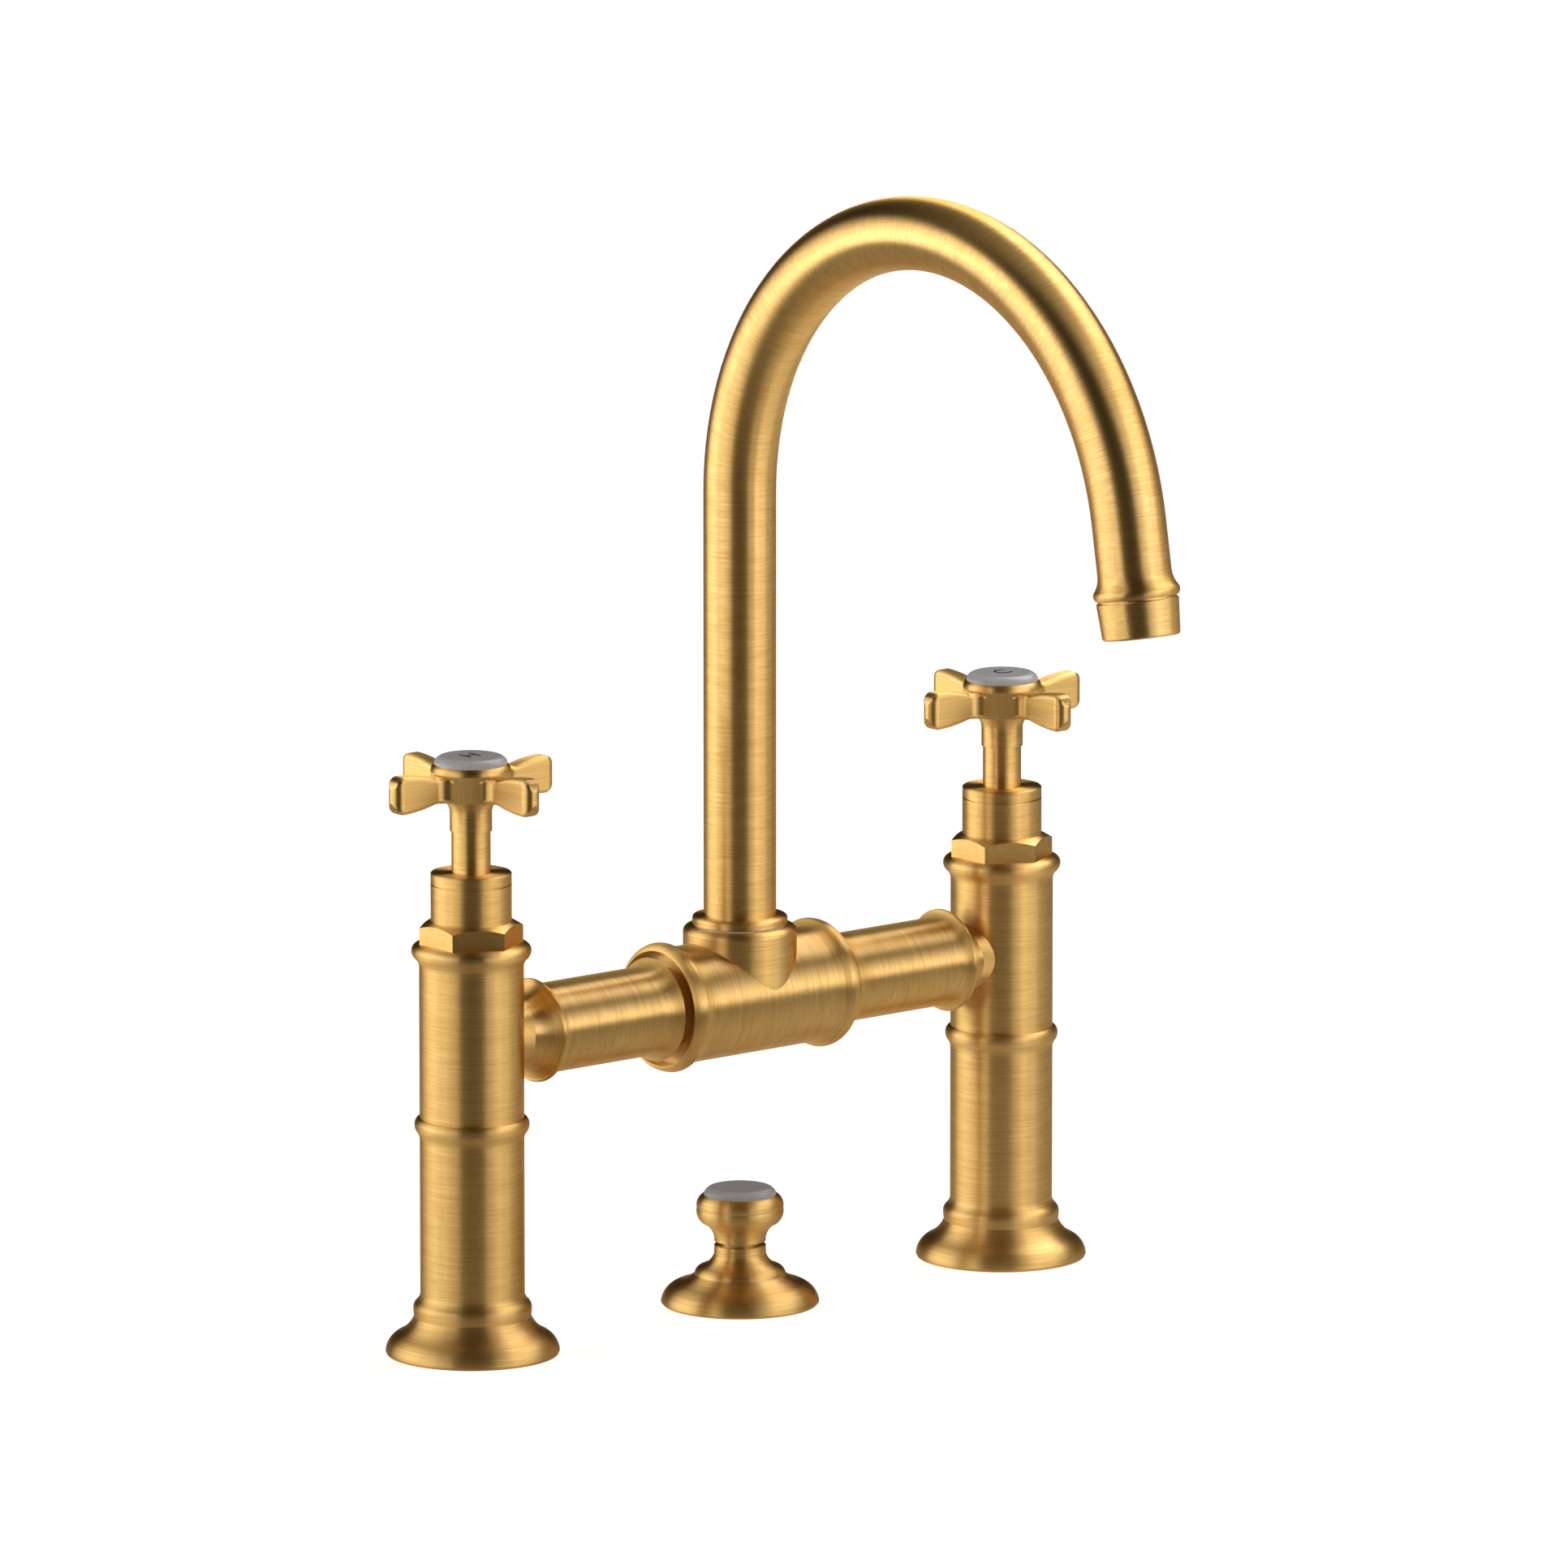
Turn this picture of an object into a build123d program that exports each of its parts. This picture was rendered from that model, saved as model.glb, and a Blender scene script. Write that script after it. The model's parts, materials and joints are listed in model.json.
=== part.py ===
from build123d import *
import os
from math import asin, atan, atan2, cos, degrees, pi, radians, sin, sqrt

os.makedirs("parts", exist_ok=True)

# A deck-mounted bridge mixer in millimetres. The origin is on the deck, midway between the two pillars.
# +Z is up, +X runs along the bridge towards the cold pillar, and the spout points towards -Y.

# Layout
pillar_spacing = 200.0
deck_thickness = 20.0

# Clearances, all radial or axial gaps between two pieces
thread_gap = 0.05
fit_gap = 0.10
turning_gap = 0.06
seat_gap = 0.25
ring_gap = 0.05
disc_gap = 0.02
groove_slack = 0.3
break_edge = 0.3

# Pillar: base flange, lower column and valve body
pillar_radius = 15.0
flange_radius = 25.0
flange_height = 10.9
flange_top_radius = 16.8
gasket_thickness = 2.0
gasket_outer_radius = 21.4
gasket_inner_radius = 11.6
foot_bead_radius = 17.05
foot_bead_height = 2.4
foot_cove_height = 4.6
foot_bead_round = 2.6
column_length = 58.0
column_wall = 2.5
middle_bead_radius = 16.5
middle_bead_drop = 2.05
middle_cove_height = 4.4
middle_bead_round = 3.2
register_length = 2.0
valve_body_length = 50.85
valve_spigot_length = 6.0
branch_drop = 28.45
top_bead_radius = 17.2
top_bead_round = 2.05
top_cove_height = 4.8
top_bead_inner_round = 2.8

# Tail, the threaded shank through the deck (G 1/2 thread)
half_inch_thread_radius = 20.955 / 2
waterway_radius = 7.5
tail_below_deck = 62.0
tail_relief_radius = 9.2
tail_relief_length = 3.0
tail_relief_gap = 4.0
tail_stop_thickness = 5.0
tail_seal_thickness = 1.5
clamp_rubber_thickness = 2.5
clamp_rubber_radius = 19.0
clamp_washer_thickness = 1.5
clamp_washer_radius = 20.0
backnut_flats = 30.0
backnut_height = 8.0

# Valve seat and headpart
seat_thickness = 4.0
seat_hole_radius = 5.0
headpart_depth = 28.0
headpart_bore_radius = 9.6
nut_socket_depth = 7.75
nut_thread_radius = 11.0
cage_radius = 8.2
cage_wall = 1.15
cage_gap = 0.3
seal_height = 2.0
disc_thickness = 3.2
port_radius = 5.2
port_edge = 0.9
drive_key_width = 2.4
drive_key_depth = 1.2
foot_thickness = 2.0
window_width = 9.0
window_sill = 0.78
window_lintel = 1.0
window_roof = 2.5
thrust_collar_radius = 6.2
thrust_collar_height = 1.6
land_length = 8.0
land_groove_drop = 5.2
headpart_flange_radius = 10.8
headpart_flange_thickness = 3.0
headpart_neck_radius = 6.9
headpart_rise = 13.5
spindle_radius = 4.0
spindle_inset = 1.9
spline_teeth = 12
spline_depth = 0.45
spline_length = 7.5
clip_thickness = 1.0
clip_groove_depth = 0.7
clip_radius = 5.2
clip_gap = 0.2
clip_opening = 3.0
lower_seal_rise = 5.5
upper_seal_drop = 5.0
spindle_groove_depth = 0.95
oring_section = 1.7
oring_squeeze = 0.4

# Bonnet: hexagonal nut, sleeve and ring
bonnet_flats = 26.0
bonnet_nut_height = 6.65
bonnet_chamfer = 1.8
bonnet_radius = 11.6
sleeve_height = 10.6
shadow_groove_width = 0.4
shadow_groove_depth = 0.5
bonnet_ring_height = 3.1
bonnet_register_length = 3.0
bonnet_bore_radius = 9.6
stem_sleeve_radius = 5.6
stem_sleeve_clip_gap = 1.3
stem_exposed = 12.1

# Cross handle
neck_radius = 6.05
neck_length = 9.5
neck_flare = 4.2
hub_radius = 11.5
hub_band_height = 7.8
hub_crown_height = 2.1
hub_top_radius = 10.4
arm_reach = 29.15
arm_half_width = 2.75
arm_rise = 3.8
arm_root_half_height = 3.8
arm_tip_half_height = 5.5
arm_root_fillet = 4.7
arm_waist_round = 3.0
arm_corner = 3.0
arm_crown = 1.85
arm_crown_overrun = 0.3
arm_edge_round = 1.4
spline_socket_gap = 0.4
screw_web_thickness = 2.6
screw_pocket_radius = 7.6
button_radius = 10.45
button_height = 2.3
button_side_height = 0.7
button_top_radius = 7.4
button_spigot_length = 3.2
button_spigot_wall = 1.2
screw_radius = 2.0
screw_length = 12.0
screw_head_radius = 3.8
screw_head_height = 2.6
hex_key_flats = 2.5
hex_key_depth = 1.6

# Bridge
bridge_tube_radius = 13.0
bridge_tube_bore = 9.5
bridge_body_radius = 17.0
bridge_body_half = 31.0
end_bead_radius = 18.9
end_bead_width = 2.2
end_bead_round = 2.0
end_cove_width = 4.0
lip_radius = 16.8
recess_depth = 4.0
socket_depth = 12.5
spigot_radius = 11.5
flare_radius = 15.1
flare_gap = 1.8
flare_width = 6.2
tube_rim_radius = 15.0
tube_rim_width = 1.4
tube_rim_flare = 3.6
tube_groove_inset = 6.5
branch_reach = 21.8
branch_radius = 10.0
branch_flare = 5.6
branch_mouth_radius = 14.1
branch_spigot_radius = 10.4
branch_spigot_length = 11.0
branch_groove_inset = 4.5
branch_bore = 6.5

# Riser boss, spout collar and spout
boss_radius = 16.5
boss_rise = 20.8
boss_edge_round = 1.8
boss_floor_gap = 0.5
riser_bore = 8.0
collar_radius = 13.8
collar_gap = 0.4
collar_height = 2.6
collar_round = 0.9
collar_spigot_radius = 11.5
collar_spigot_land = 1.4
slide_ring_height = 3.2
slide_ring_radius = 13.1
spout_oring_pitch = 3.6
swivel_half_angle = 60.0
stop_drop = 5.5
stop_groove_land = 0.9
stop_screw_radius = 2.0
stop_screw_inset = 0.6
stop_key_flats = 2.0
stop_key_depth = 1.5
stop_groove_depth = 1.6
stop_groove_gap = 0.2
stop_screw_tip = 1.4
spout_radius = 10.5
spout_bore = 8.8
spout_socket_depth = 2.5
riser_length = 123.8
arch_radius = 85.7
arch_angle = 170.1
outlet_length = 32.5
bell_length = 6.8
bell_radius = 12.3
bell_bead = 2.8
bell_lip_radius = 11.6
bell_bore_radius = 10.65
aerator_top_radius = 11.7
aerator_bottom_radius = 11.05
aerator_length = 10.6
aerator_groove = 0.55
aerator_groove_radius = 11.2
aerator_bore = 9.6
aerator_spigot_length = 3.4
aerator_gasket_thickness = 0.8
insert_recess = 1.2
insert_grid_thickness = 3.0
insert_grid_pitch = 2.4
insert_hole = 1.6
insert_wall = 1.0

# Pop-up waste control
rosette_radius = 23.0
rosette_height = 17.3
rosette_neck_radius = 7.6
rosette_step_radius = 13.3
rosette_step_height = 8.8
rosette_gasket_radius = 19.4
rosette_gasket_bore = 11.0
knob_gap = 1.3
knob_foot_radius = 7.5
knob_radius = 12.6
knob_brim_rise = 5.45
knob_crest_rise = 9.8
knob_height = 13.6
knob_seat_radius = 10.9
knob_pocket_radius = 7.6
knob_pocket_depth = 4.0
rod_radius = 2.5
rod_below_deck = 105.0
rod_grip = 9.0
rod_hole_radius = 1.1
rod_hole_rise = 6.0
bush_head_radius = 5.5
bush_seat_depth = 3.3
bush_radius = 4.0
bush_below_deck = 45.0
waste_nut_flats = 13.0
waste_nut_height = 5.0
waste_washer_radius = 9.0
waste_washer_thickness = 1.5

# Places worked out from the sizes above
pillar_x = pillar_spacing / 2
groove_width = oring_section + groove_slack
column_bore_radius = pillar_radius - column_wall
column_top = flange_height + column_length
valve_body_top = column_top + valve_body_length
bridge_height = valve_body_top - branch_drop

ledge_height = valve_body_top - nut_socket_depth
seat_top = ledge_height - headpart_depth
seat_floor = seat_top - seat_thickness
tail_socket_top = seat_floor - tail_stop_thickness
cage_bottom = seat_top + cage_gap
disc_radius = cage_radius - cage_wall
fixed_disc_bottom = seat_top + seal_height
turning_disc_bottom = fixed_disc_bottom + disc_thickness + disc_gap
foot_bottom = turning_disc_bottom + disc_thickness
window_bottom = foot_bottom + foot_thickness + window_sill
land_bottom = ledge_height - land_length
land_groove = ledge_height - land_groove_drop
land_radius = headpart_bore_radius - fit_gap
land_groove_floor = land_radius - oring_section + oring_squeeze
window_top = land_bottom - window_roof
headpart_top = ledge_height + headpart_rise
spindle_grooves = (window_top + lower_seal_rise, headpart_top - upper_seal_drop)
spindle_groove_floor = spindle_radius - spindle_groove_depth
clip_bottom = headpart_top + clip_gap

hex_base = valve_body_top
hex_top = hex_base + bonnet_nut_height
sleeve_top = hex_top + sleeve_height
bonnet_top = sleeve_top + shadow_groove_width + bonnet_ring_height
stem_sleeve_bottom = clip_bottom + clip_thickness + stem_sleeve_clip_gap
stem_sleeve_top = bonnet_top + stem_exposed
hub_bottom = stem_sleeve_top + neck_length
hub_band_top = hub_bottom + hub_band_height
button_seat = hub_band_top + hub_crown_height
arm_middle = hub_bottom + arm_rise
spindle_top = hub_bottom - spindle_inset
spline_socket_top = spindle_top + spline_socket_gap
screw_web_top = spline_socket_top + screw_web_thickness

flare_end = bridge_body_half + flare_gap
tube_end = pillar_x - branch_reach
tube_groove = bridge_body_half - recess_depth - tube_groove_inset
tube_groove_floor = spigot_radius - oring_section + oring_squeeze
branch_groove_floor = branch_spigot_radius - oring_section + oring_squeeze

boss_top = bridge_height + boss_rise
collar_bottom = boss_top + collar_gap
collar_top = collar_bottom + collar_height
stop_groove_height = boss_top - stop_drop
stop_groove_half = stop_screw_radius + stop_groove_gap
upper_collar_groove = stop_groove_height - stop_groove_half - stop_groove_land - groove_width
collar_grooves = (upper_collar_groove - spout_oring_pitch, upper_collar_groove)
collar_groove_floor = collar_spigot_radius - oring_section + oring_squeeze
collar_spigot_bottom = collar_grooves[0] - collar_spigot_land
boss_floor = collar_spigot_bottom - boss_floor_gap
spout_socket_bottom = collar_bottom - spout_socket_depth
arch_start = collar_top + riser_length

bush_seat = rosette_height - bush_seat_depth
knob_bottom = rosette_height + knob_gap
knob_seat = knob_bottom + knob_height
sides = {"hot": -pillar_x, "cold": pillar_x}


def upright(x=0.0):
    """Vertical sketch plane through a pillar's axis: its X is the radius, its Y is the height."""
    return Plane(origin=(x, 0, 0), x_dir=(1, 0, 0), z_dir=(0, -1, 0))


def level(height, x=0.0):
    """Horizontal sketch plane centred on a pillar's axis."""
    return Plane(origin=(x, 0, height))


def vertical_axis(x=0.0):
    return Axis((x, 0, 0), (0, 0, 1))


def save(piece, name):
    piece.part.label = name
    export_step(piece.part, f"parts/{name}.step")


def turned_ring(x, bottom, top, outer, inner):
    """Plain ring on a vertical axis."""
    with BuildPart() as ring:
        with BuildSketch(level(bottom, x)):
            Circle(outer)
            Circle(inner, mode=Mode.SUBTRACT)
        extrude(amount=top - bottom)
    return ring


def hexagonal_nut(x, bottom, height, flats, bore, chamfer_depth=1.0):
    """Hexagonal nut whose corners are turned off at both ends."""
    corner = flats / sqrt(3)
    with BuildPart() as nut:
        with BuildSketch(level(bottom, x)):
            RegularPolygon(radius=corner, side_count=6, rotation=30)
            Circle(bore, mode=Mode.SUBTRACT)
        extrude(amount=height)
        with BuildSketch(upright(x)):
            Polygon(
                (bore, bottom),
                (flats / 2, bottom),
                (corner, bottom + chamfer_depth),
                (corner, bottom + height - chamfer_depth),
                (flats / 2, bottom + height),
                (bore, bottom + height),
                align=None,
            )
        revolve(axis=vertical_axis(x), mode=Mode.INTERSECT)
    return nut


def cove_and_bead(start, projection, rise, bead_round):
    """Two tangent arcs from a wall at start, out over projection while moving rise along it.

    The first is hollow and the second round. They meet at one angle, so both are fixed by the
    projection, the rise and the radius of the round one.
    """
    angle = 2 * atan(abs(projection) / abs(rise))
    cove_round = abs(rise) / sin(angle) - bead_round
    up = 1 if rise > 0 else -1
    joint = (start[0] + cove_round * (1 - cos(angle)), start[1] + up * cove_round * sin(angle))
    half = angle / 2
    cove_middle = (start[0] + cove_round * (1 - cos(half)), start[1] + up * cove_round * sin(half))
    crest = (start[0] + projection, start[1] + rise)
    bead_middle = (crest[0] - bead_round * (1 - cos(half)), crest[1] - up * bead_round * sin(half))
    ThreePointArc(start, cove_middle, joint)
    ThreePointArc(joint, bead_middle, crest)
    return crest


def base_flange(x):
    """Ogee ring between the deck and the column, hollow below for its gasket."""
    tail_clearance = half_inch_thread_radius + seat_gap
    waist = (flange_radius - 3.7, 5.8)
    with BuildPart() as flange:
        with BuildSketch(upright(x)):
            with BuildLine():
                register = column_bore_radius - fit_gap
                Line((tail_clearance, gasket_thickness), (tail_clearance, flange_height + register_length))
                Line((tail_clearance, flange_height + register_length), (register, flange_height + register_length))
                Line((register, flange_height + register_length), (register, flange_height))
                Line((register, flange_height), (flange_top_radius, flange_height))
                ThreePointArc((flange_top_radius, flange_height), (flange_top_radius + 1.5, 8.3), waist)
                ThreePointArc(waist, (flange_radius - 1.25, 3.95), (flange_radius, 0.7))
                Line((flange_radius, 0.7), (flange_radius - 0.3, 0))
                Line((flange_radius - 0.3, 0), (gasket_outer_radius + fit_gap, 0))
                Line((gasket_outer_radius + fit_gap, 0), (gasket_outer_radius + fit_gap, gasket_thickness))
                Line((gasket_outer_radius + fit_gap, gasket_thickness), (tail_clearance, gasket_thickness))
            make_face()
        revolve(axis=vertical_axis(x))
    return flange


def lower_column(x):
    """Turned sleeve that stands on the flange, with a bead at its foot and one under the valve body."""
    foot_crest = flange_height + foot_bead_height
    middle_crest = column_top - middle_bead_drop
    with BuildPart() as column:
        with BuildSketch(upright(x)):
            with BuildLine():
                foot = (flange_top_radius, flange_height)
                Line((column_bore_radius, flange_height), foot)
                crest = (foot_bead_radius, foot_crest)
                ThreePointArc(foot, (foot_bead_radius - 0.07, flange_height + foot_bead_height / 2), crest)
                projection = foot_bead_radius - pillar_radius
                wall_low = (pillar_radius, foot_crest + foot_cove_height)
                cove_and_bead(wall_low, projection, -foot_cove_height, foot_bead_round)
                wall_high = (pillar_radius, middle_crest - middle_cove_height)
                Line(wall_low, wall_high)
                projection = middle_bead_radius - pillar_radius
                top = cove_and_bead(wall_high, projection, middle_cove_height, middle_bead_round)
                shoulder = (middle_bead_radius - 0.9, column_top)
                ThreePointArc(top, (middle_bead_radius - 0.22, column_top - 0.85), shoulder)
                Line(shoulder, (column_bore_radius, column_top))
                Line((column_bore_radius, column_top), (column_bore_radius, flange_height))
            make_face()
        revolve(axis=vertical_axis(x))
    return column


def tail(x):
    """Threaded shank, with a relief groove between the clamped length and the free end."""
    nut_bottom = -(deck_thickness + clamp_rubber_thickness + clamp_washer_thickness + backnut_height)
    relief_top = nut_bottom - tail_relief_gap
    with BuildPart() as shank:
        with BuildSketch(upright(x)):
            with BuildLine():
                Polyline(
                    (waterway_radius, -tail_below_deck),
                    (half_inch_thread_radius, -tail_below_deck),
                    (half_inch_thread_radius, relief_top - tail_relief_length),
                    (tail_relief_radius, relief_top - tail_relief_length),
                    (tail_relief_radius, relief_top),
                    (half_inch_thread_radius, relief_top),
                    (half_inch_thread_radius, tail_socket_top - tail_seal_thickness),
                    (waterway_radius, tail_socket_top - tail_seal_thickness),
                    close=True,
                )
            make_face()
        revolve(axis=vertical_axis(x))
    return shank


def valve_body(x):
    """Upper pillar: tail socket and seat below, headpart bore above, branch towards the bridge."""
    inward = -1 if x > 0 else 1
    spigot = column_bore_radius - fit_gap
    spigot_bottom = column_top - valve_spigot_length
    crest = (top_bead_radius, valve_body_top - top_bead_round)
    wall_top = (pillar_radius, crest[1] - top_cove_height)
    branch = Plane(origin=(x, 0, bridge_height), x_dir=(0, 1, 0), z_dir=(inward, 0, 0))
    with BuildPart() as body:
        with BuildSketch(upright(x)):
            with BuildLine():
                Polyline(
                    (0, spigot_bottom),
                    (spigot, spigot_bottom),
                    (spigot, column_top),
                    (pillar_radius, column_top),
                    wall_top,
                )
                cove_and_bead(wall_top, top_bead_radius - pillar_radius, top_cove_height, top_bead_inner_round)
                bead_middle = (crest[0] - top_bead_round * (1 - cos(pi / 4)), crest[1] + top_bead_round * sin(pi / 4))
                bead_end = (crest[0] - top_bead_round, valve_body_top)
                ThreePointArc(crest, bead_middle, bead_end)
                Polyline(bead_end, (0, valve_body_top), (0, spigot_bottom))
            make_face()
        revolve(axis=vertical_axis(x))
        # The branch is a trumpet whose mouth meets the bridge tube, with a spigot inside the tube.
        with BuildSketch(Plane(origin=(x, 0, bridge_height), x_dir=(inward, 0, 0), z_dir=(0, -inward, 0))):
            with BuildLine():
                Line((0, 0), (0, branch_radius))
                throat = (branch_reach - branch_flare, branch_radius)
                mouth = (branch_reach, branch_mouth_radius)
                Line((0, branch_radius), throat)
                ThreePointArc(throat, (branch_reach - 2.1, branch_radius + 1.35), mouth)
                spigot_end = branch_reach + branch_spigot_length
                groove = branch_reach + branch_groove_inset
                Polyline(
                    mouth,
                    (branch_reach, branch_spigot_radius),
                    (groove, branch_spigot_radius),
                    (groove, branch_groove_floor),
                    (groove + groove_width, branch_groove_floor),
                    (groove + groove_width, branch_spigot_radius),
                    (spigot_end, branch_spigot_radius),
                    (spigot_end, 0),
                    (0, 0),
                )
            make_face()
        revolve(axis=Axis((x, 0, bridge_height), (inward, 0, 0)))
        # Bored from above for the headpart and its nut, from below for the tail.
        with BuildSketch(upright(x)):
            Polygon(
                (0, seat_top),
                (headpart_bore_radius, seat_top),
                (headpart_bore_radius, ledge_height),
                (nut_thread_radius, ledge_height),
                (nut_thread_radius, valve_body_top),
                (0, valve_body_top),
                align=None,
            )
            socket = half_inch_thread_radius + thread_gap
            Polygon(
                (0, spigot_bottom),
                (socket, spigot_bottom),
                (socket, tail_socket_top),
                (waterway_radius, tail_socket_top),
                (waterway_radius, seat_floor),
                (seat_hole_radius, seat_floor),
                (seat_hole_radius, seat_top),
                (0, seat_top),
                align=None,
            )
        revolve(axis=vertical_axis(x), mode=Mode.SUBTRACT)
        with BuildSketch(branch):
            Circle(branch_bore)
        extrude(amount=branch_reach + branch_spigot_length, mode=Mode.SUBTRACT)
    return body


def headpart_body(x):
    """Brass cage for the ceramic discs, with two side windows and a long bearing for the spindle."""
    bearing = spindle_radius + turning_gap
    with BuildPart() as headpart:
        with BuildSketch(upright(x)):
            Polygon(
                (disc_radius + ring_gap, cage_bottom),
                (cage_radius, cage_bottom),
                (cage_radius, land_bottom),
                (land_radius, land_bottom),
                (land_radius, land_groove),
                (land_groove_floor, land_groove),
                (land_groove_floor, land_groove + groove_width),
                (land_radius, land_groove + groove_width),
                (land_radius, ledge_height),
                (headpart_flange_radius, ledge_height),
                (headpart_flange_radius, ledge_height + headpart_flange_thickness),
                (headpart_neck_radius, ledge_height + headpart_flange_thickness),
                (headpart_neck_radius, headpart_top),
                (bearing, headpart_top),
                (bearing, window_top),
                (disc_radius + ring_gap, window_top),
                align=None,
            )
        revolve(axis=vertical_axis(x))
        with BuildSketch(level(window_bottom, x)):
            Rectangle(3 * cage_radius, window_width)
        extrude(amount=window_top - window_lintel - window_bottom, mode=Mode.SUBTRACT)
    return headpart


def port_outline():
    """D-shaped water port of a half-turn valve, on one side of the disc's axis."""
    with BuildSketch() as port:
        Circle(port_radius)
        with Locations((0, port_edge)):
            Rectangle(2 * port_radius, 2 * port_radius, align=(Align.CENTER, Align.MAX), mode=Mode.SUBTRACT)
    return port.sketch


def fixed_disc(x):
    with BuildPart() as disc:
        with BuildSketch(level(fixed_disc_bottom, x)):
            Circle(disc_radius)
            add(port_outline(), mode=Mode.SUBTRACT)
        extrude(amount=disc_thickness)
    return disc


def turning_disc(x):
    """Its port starts opposite the fixed disc's, so the valve is shut at rest. A slot takes the drive."""
    with BuildPart() as disc:
        with BuildSketch(Plane(origin=(x, 0, turning_disc_bottom), x_dir=(-1, 0, 0))):
            Circle(disc_radius)
            add(port_outline(), mode=Mode.SUBTRACT)
        extrude(amount=disc_thickness)
        with BuildSketch(level(turning_disc_bottom + disc_thickness - drive_key_depth - 0.1, x)):
            with Locations((0, disc_radius / 2 + 0.3)):
                Rectangle(drive_key_width + 2 * ring_gap, disc_radius)
        extrude(amount=drive_key_depth + 0.1, mode=Mode.SUBTRACT)
    return disc


def spline_outline(gap=0.0):
    """Outline of the splined top of the spindle, or of the socket round it when a gap is given."""
    Circle(spindle_radius + gap)
    with PolarLocations(spindle_radius, spline_teeth):
        Rectangle(2 * (spline_depth - gap), pi * spindle_radius / spline_teeth - 2 * gap, mode=Mode.SUBTRACT)


def spindle(x):
    """Foot with a drive key and a port, bearing length with seal grooves, splined top with a tapped hole."""
    shaft_top = spindle_top - spline_length
    with BuildPart() as shaft:
        with BuildSketch(Plane(origin=(x, 0, foot_bottom), x_dir=(-1, 0, 0))):
            Circle(disc_radius - 0.1)
            add(port_outline(), mode=Mode.SUBTRACT)
        extrude(amount=foot_thickness)
        with BuildSketch(level(foot_bottom, x)):
            with Locations((0, disc_radius / 2 + 0.3)):
                Rectangle(drive_key_width, disc_radius - 1.8)
        extrude(amount=-drive_key_depth)
        with BuildSketch(upright(x)):
            collar_top = window_top - ring_gap
            outline = [
                (0, foot_bottom + foot_thickness),
                (spindle_radius, foot_bottom + foot_thickness),
                (spindle_radius, collar_top - thrust_collar_height),
                (thrust_collar_radius, collar_top - thrust_collar_height),
                (thrust_collar_radius, collar_top),
                (spindle_radius, collar_top),
            ]
            for height in spindle_grooves:
                outline.append((spindle_radius, height))
                outline.append((spindle_groove_floor, height))
                outline.append((spindle_groove_floor, height + groove_width))
                outline.append((spindle_radius, height + groove_width))
            clip_floor = spindle_radius - clip_groove_depth
            outline.append((spindle_radius, clip_bottom))
            outline.append((clip_floor, clip_bottom))
            outline.append((clip_floor, clip_bottom + clip_thickness + 0.1))
            outline.append((spindle_radius, clip_bottom + clip_thickness + 0.1))
            outline.append((spindle_radius, shaft_top))
            outline.append((0, shaft_top))
            Polygon(*outline, align=None)
        revolve(axis=vertical_axis(x))
        with BuildSketch(level(shaft_top, x)):
            spline_outline()
        extrude(amount=spline_length)
        with BuildSketch(level(spindle_top, x)):
            Circle(screw_radius + thread_gap)
        extrude(amount=-(screw_length - 1.0), mode=Mode.SUBTRACT)
    return shaft


def spindle_clip(x):
    """Open retaining clip that sits in the spindle's groove on top of the headpart."""
    with BuildPart() as clip:
        with BuildSketch(level(clip_bottom, x)):
            Circle(clip_radius)
            Circle(spindle_radius - clip_groove_depth + ring_gap, mode=Mode.SUBTRACT)
            with Locations((0, clip_radius)):
                Rectangle(clip_opening, 2 * clip_radius - 2 * (spindle_radius - clip_groove_depth), mode=Mode.SUBTRACT)
        extrude(amount=clip_thickness)
    return clip


def oring(plane, groove_floor, bore):
    """Ring of round section that sits on its groove's floor and just clears the bore around it."""
    minor = (bore - ring_gap - groove_floor) / 2
    with BuildPart(plane) as ring:
        Torus(groove_floor + minor, minor)
    return ring


def bonnet_nut(x):
    """Hexagonal nut with a threaded spigot below, which clamps the headpart, and a register above."""
    corner = bonnet_flats / sqrt(3)
    spigot = nut_thread_radius - thread_gap
    bore = headpart_neck_radius + fit_gap
    register = bonnet_bore_radius - fit_gap
    with BuildPart() as nut:
        with BuildSketch(level(hex_base, x)):
            RegularPolygon(radius=corner, side_count=6, rotation=30)
        extrude(amount=bonnet_nut_height)
        with BuildSketch(upright(x)):
            Polygon(
                (0, hex_base),
                (corner, hex_base),
                (corner, hex_top - bonnet_chamfer),
                (bonnet_radius + 0.3, hex_top),
                (0, hex_top),
                align=None,
            )
        revolve(axis=vertical_axis(x), mode=Mode.INTERSECT)
        with BuildSketch(level(ledge_height + headpart_flange_thickness, x)):
            Circle(spigot)
        extrude(amount=hex_base - ledge_height - headpart_flange_thickness)
        with BuildSketch(level(hex_top, x)):
            Circle(register)
        extrude(amount=bonnet_register_length)
        with BuildSketch(level(ledge_height + headpart_flange_thickness, x)):
            Circle(bore)
        extrude(amount=hex_top + bonnet_register_length, mode=Mode.SUBTRACT)
    return nut


def bonnet_ring(x):
    """Top ring of the bonnet. A narrow neck under it leaves the shadow groove above the sleeve."""
    bore = stem_sleeve_radius + seat_gap
    spigot = bonnet_bore_radius - fit_gap
    ring_bottom = sleeve_top + shadow_groove_width
    with BuildPart() as ring:
        with BuildSketch(upright(x)):
            Polygon(
                (bore, sleeve_top - bonnet_register_length),
                (spigot, sleeve_top - bonnet_register_length),
                (spigot, sleeve_top),
                (bonnet_radius - shadow_groove_depth, sleeve_top),
                (bonnet_radius - shadow_groove_depth, ring_bottom),
                (bonnet_radius, ring_bottom),
                (bonnet_radius, bonnet_top - 0.3),
                (bonnet_radius - 0.3, bonnet_top),
                (bore, bonnet_top),
                align=None,
            )
        revolve(axis=vertical_axis(x))
    return ring


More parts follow.
